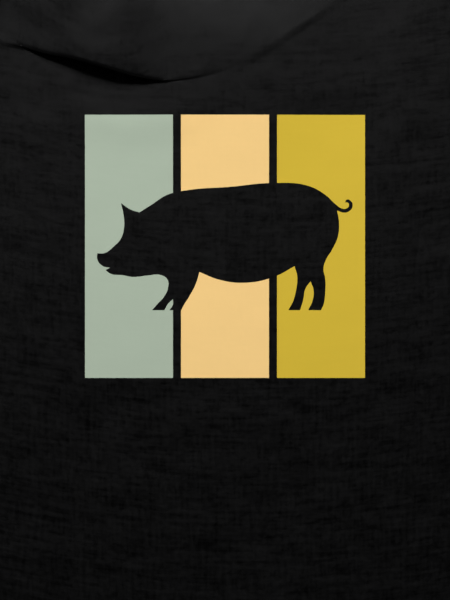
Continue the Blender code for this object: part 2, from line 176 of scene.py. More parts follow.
FRONT_NECK = neck_curve(NECK_WIDTH / 2, FRONT_NECK_DROP)
BACK_NECK = back_neck_curve(NECK_WIDTH / 2, SHOULDER_Y, BACK_NECK_DROP)
print("front outline points:", len(body_outline(FRONT_NECK)))

# %% [markdown]
# ## How the cloth lies
#
# Laid jersey is never a plane. It keeps a soft roll along the sides, pulls into folds at the
# underarms, where the sleeve meets the body, and ripples by a millimetre or two elsewhere. One
# height function describes all that. Each fold is a rounded ridge along a short curved path,
# highest in its middle. Over the print the cloth is smooth, so everything fades out there.

# %% Folds
Fold = namedtuple("Fold", "start middle end height width")

BODY_FOLDS = [
    Fold((0.276, 0.112), (0.248, 0.116), (0.212, 0.098), 0.0050, 0.0060),
    Fold((0.276, 0.104), (0.252, 0.084), (0.222, 0.050), 0.0056, 0.0065),
    Fold((0.274, 0.090), (0.262, 0.056), (0.240, 0.010), 0.0045, 0.0065),
    Fold((0.279, -0.040), (0.250, -0.082), (0.214, -0.110), 0.0036, 0.0090),
    Fold((0.278, -0.150), (0.258, -0.196), (0.222, -0.244), 0.0042, 0.0090),
    Fold((0.262, -0.378), (0.250, -0.340), (0.226, -0.290), 0.0046, 0.0085),
    Fold((0.150, -0.380), (0.138, -0.352), (0.112, -0.318), 0.0034, 0.0100),
    Fold((0.048, -0.380), (0.054, -0.356), (0.070, -0.330), 0.0026, 0.0110),
    Fold((0.226, 0.304), (0.190, 0.312), (0.150, 0.330), 0.0034, 0.0075),
    Fold((0.218, 0.246), (0.200, 0.270), (0.176, 0.300), 0.0030, 0.0080),
]
SLEEVE_FOLDS = [
    Fold((0.286, 0.118), (0.292, 0.160), (0.282, 0.210), 0.0070, 0.0075),
    Fold((0.290, 0.112), (0.320, 0.146), (0.336, 0.196), 0.0064, 0.0080),
    Fold((0.300, 0.100), (0.340, 0.114), (0.372, 0.142), 0.0050, 0.0080),
    Fold((0.404, 0.152), (0.378, 0.176), (0.340, 0.226), 0.0038, 0.0090),
    Fold((0.262, 0.286), (0.300, 0.272), (0.346, 0.268), 0.0036, 0.0075),
]
SHIFT = 0.006


def mirrored(folds):
    """The folds of the other half, shifted a little so that the halves differ."""
    moved = []
    for i, fold in enumerate(folds):
        dx, dy = SHIFT * math.sin(2.4 * i + 1), SHIFT * math.cos(1.7 * i)
        ends = [(-x + dx, y + dy) for x, y in fold[:3]]
        moved.append(Fold(*ends, fold.height * (0.85 + 0.2 * math.sin(3 * i)), fold.width))
    return moved


FOLDS = BODY_FOLDS + mirrored(BODY_FOLDS) + SLEEVE_FOLDS + mirrored(SLEEVE_FOLDS)
print("folds:", len(FOLDS))

# %% Distances and ridges
def eased(low, high, value):
    """0 below low, 1 above high, and a smooth rise between them."""
    share = np.clip((value - low) / (high - low), 0, 1)
    return share * share * (3 - 2 * share)


def nearest_on(path, x, y):
    """Signed distance from a path, how far along it, and the way across it, for many places."""
    path = np.asarray(path, float)
    best = np.full(x.shape, np.inf)
    sign, along = np.ones(x.shape), np.zeros(x.shape)
    across = np.zeros((2, *x.shape))
    for i, (a, b) in enumerate(zip(path[:-1, :2], path[1:, :2])):
        d = b - a
        rx, ry = x - a[0], y - a[1]
        share = np.clip((rx * d[0] + ry * d[1]) / (d @ d), 0, 1)
        away = np.hypot(rx - share * d[0], ry - share * d[1])
        nearer = away < best
        best = np.where(nearer, away, best)
        sign = np.where(nearer, np.sign(d[0] * ry - d[1] * rx), sign)
        along = np.where(nearer, i + share, along)
        left = np.array([-d[1], d[0]]) / np.hypot(*d)
        across = np.where(nearer, left[:, None], across)
    return best * sign, along, across


def fold_height(fold, x, y, steps=14):
    """A rounded ridge that swells from nothing at both ends."""
    away, along, _ = nearest_on(bezier(fold[:3], steps), x, y)
    swell = np.sin(np.pi * np.clip(along / steps, 0, 1)) ** 0.7
    return fold.height * swell * np.exp(-((away / fold.width) ** 2))


ridge = fold_height(BODY_FOLDS[0], *np.array(BODY_FOLDS[0].middle)[:, None])
print(f"first fold {ridge[0] * 1000:.1f} mm high near its middle")

# %% The height of laid cloth
SIDE_ROLL_HEIGHT = 0.0030
SIDE_ROLL_WIDTH = 0.016
SWELL = 0.0011
RIPPLE = 0.0006

BLOCK_WIDTH = 0.0792
BLOCK_HEIGHT = 0.2367
BLOCK_SPACING = 0.0864
PRINT_CENTRE_Y = 0.0252
QUIET_MARGIN = 0.030


def quiet(x, y):
    """1 over the print, where the cloth lies smooth, and 0 well away from it."""
    out_x = np.abs(x) - BLOCK_SPACING - BLOCK_WIDTH / 2
    out_y = np.abs(y - PRINT_CENTRE_Y) - BLOCK_HEIGHT / 2
    return 1 - eased(0.004, QUIET_MARGIN, np.maximum(out_x, out_y))


def side_roll(x, y):
    """The soft roll that the body keeps along its side seams."""
    inside = CHEST_WIDTH / 2 - np.abs(x)
    below = 1 - eased(UNDERARM_Y - 0.03, UNDERARM_Y + 0.01, y)
    wave = 0.65 + 0.35 * np.sin(16 * y + 2 * np.sign(x))
    hump = np.exp(-(((inside - SIDE_ROLL_WIDTH) / SIDE_ROLL_WIDTH) ** 2))
    return SIDE_ROLL_HEIGHT * below * wave * hump


def ripples(x, y):
    """Small uneven waves, as in cloth that has been folded and smoothed out by hand."""
    made = [
        noise.noise(Vector((26 * a, 34 * b, 0))) + 0.5 * noise.noise(Vector((70 * a, 58 * b, 3)))
        for a, b in zip(x, y)
    ]
    calm = 1 - 0.75 * quiet(x, y) - 0.5 * eased(0.14, 0.18, y) * eased(-0.08, -0.02, x)
    return RIPPLE * calm * np.array(made)


def lay_height(x, y):
    """Height of laid cloth, without the chest fold."""
    swell = SWELL * (np.sin(13 * x + 5 * y) * np.cos(9 * y - 4 * x) + 0.4 * np.sin(31 * x - 17 * y))
    height = swell + side_roll(x, y)
    for fold in FOLDS:
        height = height + fold_height(fold, x, y)
    return LAID_HEIGHT + (1 - quiet(x, y)) * height + ripples(x, y)


print(f"cloth between the blocks {lay_height(*np.zeros((2, 1)))[0] * 1000:.1f} mm high")

# %% [markdown]
# ## The fold across the chest
#
# Slack cloth slides down from the neck and rolls over the chest. A height function can't draw
# it, because the roll hangs over the cloth below it: one place has three layers. So the cloth is
# drawn as a strand that runs across the crease. It dips into the gap, runs under the roll, turns
# back, and comes over the roll towards the neck. The strand is a smooth curve through a few
# points, and those points move with the roll's height and with the width of the open gap, which
# both change along the crease. To the right the roll flattens into a soft line, along which the
# cloth swells by 2 or 3 mm and falls away towards the neck. Below the gap it bulges a little.

# %% The crease
CHEST_CREASE = [
    # x, y, height of the flap, open gap, depth of the tuck, gathering, soft rise, flatness, swell
    (-0.2330, 0.2260, 0, 0, 0, 0, 0.0002, 4.5, 0),
    (-0.2025, 0.2092, 0.0001, 0, 0, 0.45, 0.0004, 4.5, 0),
    (-0.1845, 0.2034, 0.0010, 0.0002, 0.10, 0.80, 0.0003, 4.5, 0),
    (-0.1575, 0.1916, 0.0060, 0.0042, 0.90, 1.00, 0.0002, 4.5, 0),
    (-0.1278, 0.1780, 0.0126, 0.0112, 1.00, 1.00, 0, 4.5, 0),
    (-0.0972, 0.1692, 0.0122, 0.0120, 1.00, 1.00, 0, 4.5, 0.0002),
    (-0.0738, 0.1698, 0.0066, 0.0058, 0.90, 1.00, 0.0002, 4.2, 0.0004),
    (-0.0522, 0.1730, 0.0014, 0.0001, 0.08, 0.90, 0.0004, 3.4, 0.0009),
    (-0.0225, 0.1768, 0.0002, 0, 0, 0.40, 0.0006, 2.4, 0.0017),
    (0.0072, 0.1858, 0, 0, 0, 0, 0.0005, 1.6, 0.0024),
    (0.0378, 0.2029, 0, 0, 0, 0, 0.0003, 1.2, 0.0026),
    (0.0675, 0.2227, 0, 0, 0, 0, 0.0004, 1.0, 0.0022),
    (0.0972, 0.2425, 0, 0, 0, 0, 0.0001, 1.0, 0.0013),
    (0.1250, 0.2680, 0, 0, 0, 0, 0.0001, 1.0, 0.0004),
    (0.1420, 0.2900, 0, 0, 0, 0, 0, 1.0, 0),
]
print("widest gap:", max(point[3] for point in CHEST_CREASE) * 1000, "mm")

# %% The strand
TUCK_START = -0.014
TUCK_END = 0.022
STRANDS = 12


def smooth_path(points, steps):
    """A smooth curve through points, with that many steps between two of them."""
    points = np.asarray(points, float)
    points = np.vstack([2 * points[0] - points[1], points, 2 * points[-1] - points[-2]])
    share = np.linspace(0, 1, steps, endpoint=False)[:, None]
    parts = [through(share, *four) for four in zip(points, points[1:], points[2:], points[3:])]
    return np.vstack([*parts, points[-2]])


def through(share, before, start, end, after):
    """One stretch of a Catmull-Rom curve."""
    slope = end - before
    bend = 2 * before - 5 * start + 4 * end - after
    twist = 3 * start - before - 3 * end + after
    return 0.5 * (2 * start + slope * share + bend * share**2 + twist * share**3)


def strand_points(gap, height, tuck):
    """The strand's points across the crease: how far over, how high, and the cloth's length."""
    step = (TUCK_END - TUCK_START) / STRANDS
    soft = 0.001 * np.minimum(height / 0.006, 1)
    zero = np.zeros_like(gap)
    over = [
        TUCK_START - step + zero, TUCK_START + zero, -0.0080 + zero, -0.0025 + zero,
        0.30 * gap + 0.0008 * tuck, 0.75 * gap + 0.0025 * tuck, gap + 0.0050 * tuck,
        gap + 0.0085 * tuck, gap + 0.0065 * tuck, gap + 0.0020 * tuck, gap, gap + 0.0012,
        gap + 0.0042, TUCK_END + zero, TUCK_END + step + zero,
    ]
    high = [
        zero, zero, zero, -0.0001 * tuck, -0.0004 * tuck, -0.0016 * tuck, -0.0028 * tuck,
        -0.0016 * tuck, 0.0003 + 0.10 * height, 0.30 * height, 0.62 * height,
        height - 1.1 * soft, height - 0.42 * soft, height, height,
    ]
    over, high = np.array(over), np.array(high)
    length = np.cumsum(np.hypot(np.diff(over, axis=0), np.diff(high, axis=0)), axis=0)
    length = np.concatenate([zero[None], length]) - step
    return over, high, length


CREASE_PATH = smooth_path(CHEST_CREASE, 5)
print("points along the crease:", len(CREASE_PATH))

# %% Laying the chest fold
SEAM_DROP = 0.0016
SWELL_REACH = 0.12
BULGE = 0.0012
BULGE_PLACE = -0.030
BULGE_WIDTH = 0.020
UPPER_EDGES = [
    armhole(-1, 0, 12)[6:], armhole(1, 0, 12)[6:], shoulder_seam(-1, 2), shoulder_seam(1, 2),
    neck_curve(NECK_WIDTH / 2, FRONT_NECK_DROP, 40),
]


def room_above(x, y):
    """Distance to the armholes, shoulders and neck, blended so that it has no kinks."""
    sides = [np.abs(nearest_on(line, x, y)[0]) + 1e-6 for line in UPPER_EDGES]
    return sum(side**-4 for side in sides) ** -0.25


def soft_rise(x, across):
    """The rise where nothing overhangs: a low dome in the middle, a slow swell to the sides."""
    dome = 1 - np.exp(-np.maximum(across, 0) / 0.006)
    step = eased(-0.0055, 0.0010, across)
    middle = eased(-0.075, -0.045, x) * (1 - eased(0.000, 0.030, x))
    return step + (dome - step) * middle


def lay_chest(x, y):
    """Moves cloth into the chest fold: new x, new y, added height, and the cloth taken up."""
    path = CREASE_PATH
    across, _, way = nearest_on(path, x, y)
    values = [np.interp(x, path[:, 0], column) for column in path.T[1:]]
    line, height, gap, tuck, gather, soft, flat, swell = (np.maximum(v, 0) for v in values)
    tuck, gather = np.minimum(tuck, 1), np.minimum(gather, 1)
    place = np.clip((across - TUCK_START) / (TUCK_END - TUCK_START), 0, 1)
    strand = strand_points(gap, height, tuck)
    first = np.minimum((place * STRANDS).astype(int), STRANDS - 1)
    share = place * STRANDS - first
    over, high, length = (
        through(share, *(np.take_along_axis(a, (first + k)[None], 0)[0] for k in range(4)))
        for a in strand
    )
    inside = (across > TUCK_START) & (across < TUCK_END)
    gentle = height * eased(0, 0.004, across)
    tucked = gentle + eased(0, 0.3, tuck) * (high - gentle)
    rise = np.where(inside, tucked, gentle) + soft * soft_rise(x, across)
    bulge = BULGE * np.exp(-(((across - BULGE_PLACE) / BULGE_WIDTH) ** 2))
    bulge = bulge * eased(-0.17, -0.12, x) * (1 - eased(-0.05, 0.01, x))
    rise = rise + swell * eased(-SWELL_REACH, 0, across) + bulge
    move = np.where(inside, gather * (over - across), 0)
    lean = np.interp(x, path[:-1, 0], np.cos(np.arctan(np.diff(path[:, 1]) / np.diff(path[:, 0]))))
    behind = np.maximum((y - line) * lean - 0.002, 0)
    sink = (height + soft + swell + SEAM_DROP) * (behind / (behind + room_above(x, y))) ** flat
    taken = gather * (length - place * (TUCK_END - TUCK_START))
    return x + way[0] * move, y + way[1] * move, rise - sink, taken


def chest_rise(x, y):
    """How much higher the cloth lies because of the chest fold."""
    return lay_chest(x, y)[2]


lift = chest_rise(np.array([-0.128]), np.array([0.200]))[0]
print(f"the flap lies {lift * 1000:.1f} mm above the cloth")

# %% [markdown]
# ## Cutting and laying a piece of cloth
#
# A pattern piece starts as one flat face with the outline of the seam lines. Narrow rings are
# inset along its edge first, because that is where cloth rolls and seams dip. The rest is sliced
# along evenly spaced straight lines with bisect_plane. The flat place of every point is stored
# as a UV map in metres before the piece is laid, so the knit follows the cloth into every fold.
# A Solidify modifier then gives the sheet the thickness of jersey.

# %% Helpers for cutting
EDGE_RINGS = (0.0006, 0.0007, 0.0009)
TOUCHING = 1e-6


def slice_at(mesh, place, way):
    """Slices all faces along one straight line."""
    geom = mesh.verts[:] + mesh.edges[:] + mesh.faces[:]
    bmesh.ops.bisect_plane(mesh, geom=geom, dist=TOUCHING, plane_co=place, plane_no=way)


def cut_piece(outline, step, turn=0.0):
    """A flat pattern piece: narrow rings along its edge, sliced into a turned grid of cells."""
    mesh = bmesh.new()
    inner = mesh.faces.new([mesh.verts.new((px, py, 0)) for px, py in outline])
    inner.normal_update()
    whole = inner.calc_area()
    for width in EDGE_RINGS:
        bmesh.ops.inset_region(
            mesh, faces=[inner], thickness=width, use_boundary=True, use_even_offset=True
        )
    spare = abs(sum(face.calc_area() for face in mesh.faces) - whole)
    plan = np.array([v.co for v in mesh.verts])
    for angle in (turn, turn + math.pi / 2):
        way = Vector((math.cos(angle), math.sin(angle), 0))
        reach = plan @ np.array(way)
        count = round((reach.max() - reach.min()) / step)
        for place in np.linspace(reach.min(), reach.max(), count + 1)[1:-1]:
            slice_at(mesh, way * place, way)
    print(f"cut {whole:.4f} square metres, rings off by {spare * 1e6:.2f} square millimetres")
    return mesh


print(f"edge rings: {sum(EDGE_RINGS) * 1000:.1f} mm wide together")

# %% Helpers for laying
def plan_of(mesh):
    """The x and y of every point of a mesh."""
    plan = np.array([v.co for v in mesh.verts])
    return plan[:, 0], plan[:, 1]


def store_flat(mesh, u, v):
    """Stores where each point was on the flat cloth, in metres."""
    mesh.verts.index_update()
    layer = mesh.loops.layers.uv.verify()
    for face in mesh.faces:
        for loop in face.loops:
            i = loop.vert.index
            loop[layer].uv = (u[i], v[i])


def place_points(mesh, x, y, z):
    """Moves every point of a mesh."""
    for vert, place in zip(mesh.verts, zip(x, y, z)):
        vert.co = place


def add_object(name, data):
    """An object in the scene."""
    made = bpy.data.objects.new(name, data)
    bpy.context.scene.collection.objects.link(made)
    return made


def add_mesh(name, mesh):
    """An object from a bmesh, which is freed."""
    data = bpy.data.meshes.new(name)
    mesh.to_mesh(data)
    mesh.free()
    return add_object(name, data)


def add_piece(name, mesh, thickness=0.0):
    """Turns a bmesh into a smooth shaded piece, with the cloth's thickness if it has one."""
    for edge in (e for e in mesh.edges if e.is_boundary):
        edge.smooth = False
    piece = add_mesh(name, mesh)
    for face in piece.data.polygons:
        face.use_smooth = True
    if thickness:
        solid = piece.modifiers.new("cloth thickness", "SOLIDIFY")
        solid.thickness = thickness
        solid.offset = -1
        solid.use_even_offset = False
    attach(piece, "root")
    print(name, "faces:", len(piece.data.polygons))
    return piece


# %% [markdown]
# ## The front
#
# The front is one sheet from the hem to the neck. It is sliced into 4.5 mm cells, and finer
# along the crease, where the strand bends sharply, and along the hem's rows of stitches. Towards
# the side seams and the shoulders the sheet rolls down to meet the back, and at the armholes and
# the neck it dips into a seam.

# %% The front
EDGE_HEIGHT = 0.0012
EDGE_ROLL = 0.0060
SAG, SAG_MIDDLE = 0.45, 0.02
SEAM_DIP = 0.0013
SEAM_WIDTH = 0.0013
HEM_RIDGE = 0.0005
HEM_STEP = 0.0008
NEEDLE_ROWS = (0.0140, 0.0200)
NEEDLE_DIP = 0.0003
NEEDLE_WIDTH = 0.0008
CREASE_MARGIN, CREASE_ROOM = 0.003, 0.004
FRONT_CELL = 0.0045
HEM_SLICES = (0.0132, 0.0140, 0.0148, 0.0192, 0.0200, 0.0208, 0.0214, 0.0228)


def away_from(lines, x, y):
    """Distance to the nearest of several lines."""
    return np.min([np.abs(nearest_on(line, x, y)[0]) for line in lines], axis=0)


def rounded(away, reach):
    """A quarter circle's rise from 0 at an edge to 1 at reach."""
    share = np.clip(1 - away / reach, 0, 1)
    return np.sqrt(1 - share * share)


def grain_sag(x, y):
    """How far the rows of the knit hang below straight, as the shirt was laid down."""
    return SAG * (x - SAG_MIDDLE) ** 2 * eased(HEM_Y + 0.01, HEM_Y + 0.10, y)


def hem_relief(away, depth):
    """The thicker fold of a hem, with dips where its two rows of stitches pull it in."""
    relief = HEM_RIDGE * (1 - eased(depth - HEM_STEP, depth + HEM_STEP, away))
    for row in NEEDLE_ROWS:
        relief = relief - NEEDLE_DIP * np.exp(-(((away - row) / NEEDLE_WIDTH) ** 2))
    return relief


CLOSED_EDGES = [
    line for side in (1, -1)
    for line in (side_seam(side, HEM_Y, UNDERARM_Y, 30), shoulder_seam(side, 2))
]
SEWN_EDGES = [
    armhole(1, 0, 24), armhole(-1, 0, 24), neck_curve(NECK_WIDTH / 2, FRONT_NECK_DROP, 40),
]


def front_height(x, y):
    """Height of the front over the flat cloth, with its edges, seams and hem."""
    height = lay_height(x, y) + chest_rise(x, y) + hem_relief(y - HEM_Y, HEM_DEPTH - 0.002)
    height = height - SEAM_DIP * np.exp(-((away_from(SEWN_EDGES, x, y) / SEAM_WIDTH) ** 2))
    edge = away_from(CLOSED_EDGES, x, y)
    return EDGE_HEIGHT + (height - EDGE_HEIGHT) * rounded(edge, EDGE_ROLL)


def refine_crease(mesh):
    """Cuts the cells along the chest fold five times finer."""
    x, y = plan_of(mesh)
    across, _, _ = nearest_on(CREASE_PATH, x, y)
    near = (across > TUCK_START - CREASE_MARGIN) & (across < TUCK_END + CREASE_MARGIN)
    near &= (x > CREASE_PATH[0, 0] - CREASE_ROOM) & (x < CREASE_PATH[-1, 0])
    mesh.verts.index_update()
    edges = [e for e in mesh.edges if all(near[v.index] for v in e.verts)]
    bmesh.ops.subdivide_edges(mesh, edges=edges, cuts=4, use_grid_fill=True)


front_mesh = cut_piece(body_outline(FRONT_NECK), FRONT_CELL)
refine_crease(front_mesh)
for row in HEM_SLICES:
    slice_at(front_mesh, Vector((0, HEM_Y + row, 0)), Vector((0, 1, 0)))
flat_x, flat_y = plan_of(front_mesh)
laid_x, laid_y, _, taken_up = lay_chest(flat_x, flat_y)
store_flat(front_mesh, flat_x, flat_y + taken_up - grain_sag(flat_x, flat_y))
place_points(front_mesh, laid_x, laid_y, front_height(flat_x, flat_y))
front = add_piece("front_cloth", front_mesh, CLOTH)
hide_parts("front_panel")

# %% [markdown]
# ## The back
#
# The back lies on the surface under everything else. Only its rolled edges show, and its inner
# side through the neck opening. Its outer side faces down, so the face normals are flipped, and
# the thickness grows upwards.

# %% The back
BACK_CELL = 0.012
LOWER_ROLL = 0.004


def lower_height(edges, x, y):
    """A lower layer lies flat on the surface and curls up at its closed edges."""
    return EDGE_HEIGHT * (1 - rounded(away_from(edges, x, y), LOWER_ROLL))


back_mesh = cut_piece(body_outline(BACK_NECK), BACK_CELL)
flat_x, flat_y = plan_of(back_mesh)
store_flat(back_mesh, flat_x, flat_y)
place_points(back_mesh, flat_x, flat_y, lower_height(CLOSED_EDGES, flat_x, flat_y))
bmesh.ops.reverse_faces(back_mesh, faces=back_mesh.faces[:])
back = add_piece("back_cloth", back_mesh, CLOTH)
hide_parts("back_panel")

# %% [markdown]
# ## Hems
#
# A hem is the cloth's own edge, turned inwards and sewn down. The outer layer is already there.
# What is missing is the turn itself and the layer inside. A strip follows the edge: round a
# tight bend and back along the inside. The front hem turns down and inwards, the back hem up.

# %% Hems
TURN = 0.0007
TURN_SECTION = [(0, 0), (-0.5, 0.35), (-0.7, 0.9), (-0.5, 1.5), (0, 1.85), (2, 1.9)]
HEM_MARGIN = 0.003
CUFF_MARGIN = 0.004
TURNED_CLOTH = 0.9 * CLOTH


def unit_grid(columns, rows):
    """A grid of cells, one metre wide and long, and each point's column and row in it."""
    mesh = bmesh.new()
    bmesh.ops.create_grid(mesh, x_segments=columns, y_segments=rows, size=0.5)
    x, y = plan_of(mesh)
    column, row = np.round((x + 0.5) * columns), np.round((y + 0.5) * rows)
    return mesh, column.astype(int), row.astype(int)


def turned_hem(name, edge, inward, depth, height, facing):
    """A strip that turns round an edge and runs back inside it. facing is -1 for a front layer."""
    section = [(a * TURN, b * TURN) for a, b in TURN_SECTION]
    section += [(share * depth, 1.9 * TURN) for share in (0.25, 0.5, 0.75, 1)]
    edge, section = np.array(edge), np.array(section)
    mesh, column, row = unit_grid(len(edge) - 1, len(section) - 1)
    plan = edge[column] + section[row, :1] * np.array(inward)
    top = height(edge[column, 0], edge[column, 1])
    store_flat(mesh, run_along(edge)[column], section[row].sum(1))
    place_points(mesh, plan[:, 0], plan[:, 1], top + facing * section[row, 1])
    mesh.normal_update()
    if facing * sum(face.normal.z for face in mesh.faces) < 0:
        bmesh.ops.reverse_faces(mesh, faces=mesh.faces[:])
    return add_piece(name, mesh, TURNED_CLOTH)


def on_surface(x, y):
    """The back's outer side rests on the surface."""
    return np.zeros(x.shape)


hem_half = HEM_WIDTH / 2 - HEM_MARGIN
hem_line = [(x, HEM_Y) for x in np.linspace(-hem_half, hem_half, 240)]
hem_inside = HEM_DEPTH - HEM_MARGIN
front_hem = turned_hem("front_hem", hem_line, (0, 1), hem_inside, front_height, -1)
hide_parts("hem_front")
back_hem = turned_hem("back_hem", hem_line, (0, 1), hem_inside, on_surface, 1)
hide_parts("hem_back")

# %% [markdown]
# ## Sleeves
#
# Each sleeve is a short flattened tube. Its two layers share the fold along the top and the seam
# along the underside, and stay apart at the opening. One flat piece is copied, the copy becomes
# the lower layer, and merging the points that meet along the two closed edges makes the tube.

# %% A sleeve's lines
def sleeve_corners(side):
    """Shoulder point, top and bottom of the opening, underarm point."""
    shoulder = np.array([SHOULDER_WIDTH / 2, SHOULDER_Y - SHOULDER_DROP])
    along = np.array([math.cos(SLEEVE_ANGLE), -math.sin(SLEEVE_ANGLE)])
    turn = SLEEVE_ANGLE + CUFF_ANGLE
    down = np.array([math.cos(turn), -math.sin(turn)])
    top = shoulder + SLEEVE_LENGTH * along
    bottom = top + SLEEVE_OPENING * down
    under = np.array([CHEST_WIDTH / 2, UNDERARM_Y])
    flip = np.array([side, 1])
    return shoulder * flip, top * flip, bottom * flip, under * flip


def cuff_inward(side):
    """The way from a sleeve's opening towards its shoulder point."""
    shoulder, top, _, _ = sleeve_corners(side)
    return (shoulder - top) / np.linalg.norm(shoulder - top)


def cuff_line(side, depth, margin, count):
    """A line along a sleeve's opening, some way inside it."""
    _, top, bottom, _ = sleeve_corners(side)
    start = top + cuff_inward(side) * depth
    shares = np.linspace(margin, 1 - margin, count)
    return [tuple(start + (bottom - top) * share) for share in shares]


def sleeve_lines(side):
    """The sleeve's four edges: armhole, top fold, opening and underarm seam."""
    shoulder, top, bottom, under = sleeve_corners(side)
    fold = bezier([shoulder, (shoulder + top) / 2 + [0, 0.004], top], 40)
    opening = bezier([top, bottom], 50)
    seam = bezier([bottom, (under + bottom) / 2 + [0, 0.003], under], 20)
    return armhole(side, 0.0003), fold, opening, seam


print(f"openings {SLEEVE_OPENING * 1000:.0f} mm wide")

# %% Sleeves
def sleeve_height(side):
    """Heights of a sleeve's upper layer."""

    def height(x, y):
        seam_line, fold, opening, under = sleeve_lines(side)
        cuff = away_from([(opening[0], opening[-1])], x, y)
        top = lay_height(x, y) + chest_rise(x, y) + hem_relief(cuff, SLEEVE_HEM_DEPTH - 0.001)
        top = top - SEAM_DIP * np.exp(-((away_from([seam_line[::4]], x, y) / SEAM_WIDTH) ** 2))
        edge = away_from([fold[::4], under], x, y)
        return EDGE_HEIGHT + (top - EDGE_HEIGHT) * rounded(edge, EDGE_ROLL)

    return height


def make_sleeve(name, node, side):
    """A sleeve as a flattened tube, open at the armhole and at the cuff."""
    seam_line, fold, opening, under = sleeve_lines(side)
    outline = seam_line[:-1] + fold[:-1] + opening[:-1] + under[:-1]
    mesh = cut_piece(outline, FRONT_CELL, -SLEEVE_ANGLE * side)
    _, top, bottom, _ = sleeve_corners(side)
    inward = Vector((*cuff_inward(side), 0))
    across = Vector((*(bottom - top), 0)).cross((0, 0, 1)).normalized()
    for row in HEM_SLICES:
        slice_at(mesh, Vector((*top, 0)) + inward * row, across)
    if side > 0:
        bmesh.ops.reverse_faces(mesh, faces=mesh.faces[:])
    upper = len(mesh.verts)
    copied = bmesh.ops.duplicate(mesh, geom=mesh.verts[:] + mesh.edges[:] + mesh.faces[:])
    lower_faces = [g for g in copied["geom"] if isinstance(g, bmesh.types.BMFace)]
    bmesh.ops.reverse_faces(mesh, faces=lower_faces)
    x, y = plan_of(mesh)
    turn = SLEEVE_ANGLE * side
    along = x * math.cos(turn) - y * math.sin(turn)
    down = x * math.sin(turn) + y * math.cos(turn)
    store_flat(mesh, down, along)
    z = lower_height([fold[::4], under], x, y)
    z[:upper] = sleeve_height(side)(x[:upper], y[:upper])
    place_points(mesh, x, y, z)
    bmesh.ops.remove_doubles(mesh, verts=mesh.verts[:], dist=2e-5)
    sleeve = add_piece(name, mesh, CLOTH)
    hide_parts(node)
    return sleeve


sleeves = [
    make_sleeve("left_sleeve", "sleeve_left", 1),
    make_sleeve("right_sleeve", "sleeve_right", -1),
]

# %% [markdown]
# The hem round a sleeve's opening is turned in like the body's, once for each layer. The two
# strips are joined into one piece, because on the real sleeve they are one ring of cloth.

# %% Cuff hems
def make_cuff_hem(name, node, side):
    """The turned edge round a sleeve's opening."""
    inward, line = cuff_inward(side), cuff_line(side, 0, CUFF_MARGIN / SLEEVE_OPENING, 90)
    depth = SLEEVE_HEM_DEPTH - CUFF_MARGIN / 2
    over = turned_hem(name, line, inward, depth, sleeve_height(side), -1)
    below = turned_hem(name + "_below", line, inward, depth, on_surface, 1)
    mesh = bmesh.new()
    mesh.from_mesh(over.data)
    mesh.from_mesh(below.data)
    mesh.to_mesh(over.data)
    mesh.free()
    bpy.data.objects.remove(below)
    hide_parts(node)
    return over


cuff_hems = [
    make_cuff_hem("left_cuff_hem", "sleeve_hem_left", 1),
    make_cuff_hem("right_cuff_hem", "sleeve_hem_right", -1),
]

# %% [markdown]
# ## The ribbed neckband
#
# The collar of a T-shirt is one closed ring of rib, folded lengthwise: fine ridges run across
# it, so that it stretches over the head. Laid flat, the ring folds over itself at both
# shoulders. The ridges are wide enough to see, so they are modelled and not painted. A list of
# columns goes once round the ring: each has an inner and an outer edge, and the way up, which
# turns over in the shoulder folds. A long grid is wrapped round these columns as a flat tube,
# and its thickness rises and falls once for each rib.

# %% The neckband's edges
RIB_PITCH = 0.0023
RIB_DEPTH = 0.0009
BAND_THICKNESS = 0.0022
BAND_LIP = OVERALL_LENGTH - BODY_LENGTH
BAND_INSET = 0.0022
BACK_BAND_Z = 0.0001 + BAND_THICKNESS / 2
FRONT_BAND_Z = BACK_BAND_Z + BAND_THICKNESS + 0.0002
NECK_HALF = NECK_WIDTH / 2 - 0.0002


def ellipse_part(half, drop, lip, count):
    """The front neck's ellipse, whose ends stop a lip above the shoulder, or below it."""
    over = math.asin(lip / drop)
    turns = np.linspace(-over, math.pi + over, count)
    return np.stack([half * np.cos(turns), SHOULDER_Y - drop * np.sin(turns)], 1)


def front_columns(count=240):
    """Columns of the front half: it leans in from the seam, and rises over the back half."""
    half, drop = NECK_HALF - NECKBAND_WIDTH, FRONT_NECK_DROP - NECKBAND_WIDTH
    inner = ellipse_part(half, drop, BAND_LIP - BAND_INSET, count)
    outer = ellipse_part(NECK_HALF, FRONT_NECK_DROP - 0.0002, -BAND_INSET, count)
    over_back = eased(SHOULDER_Y - 0.045, SHOULDER_Y - 0.014, outer[:, 1])
    low, high = 0.0014 + BAND_THICKNESS / 2, 0.0022 + BAND_THICKNESS / 2
    inner_z = low + (FRONT_BAND_Z - low) * over_back
    outer_z = high + (FRONT_BAND_Z - high) * over_back
    up = np.tile((0.0, 0.0, 1.0), (count, 1))
    return np.column_stack([inner, inner_z, outer, outer_z, up])


def back_columns(start, count=160):
    """Columns of the back half, flat on the surface, from the wearer's right to the left."""
    (inner_x, inner_y), (outer_x, outer_y) = start[:2], start[3:5]
    seam = SHOULDER_Y - BACK_NECK_DROP
    inner = back_neck_curve(-inner_x, inner_y, inner_y - seam - NECKBAND_WIDTH, count)[::-1]
    outer = back_neck_curve(-outer_x, outer_y, outer_y - seam, count)[::-1]
    level = np.full(count + 1, BACK_BAND_Z)
    up = np.tile((0.0, 0.0, -1.0), (count + 1, 1))
    return np.column_stack([inner, level, outer, level, up])


band_front = front_columns()
band_back = back_columns(band_front[-1])
print("columns:", len(band_front), "in front,", len(band_back), "behind")

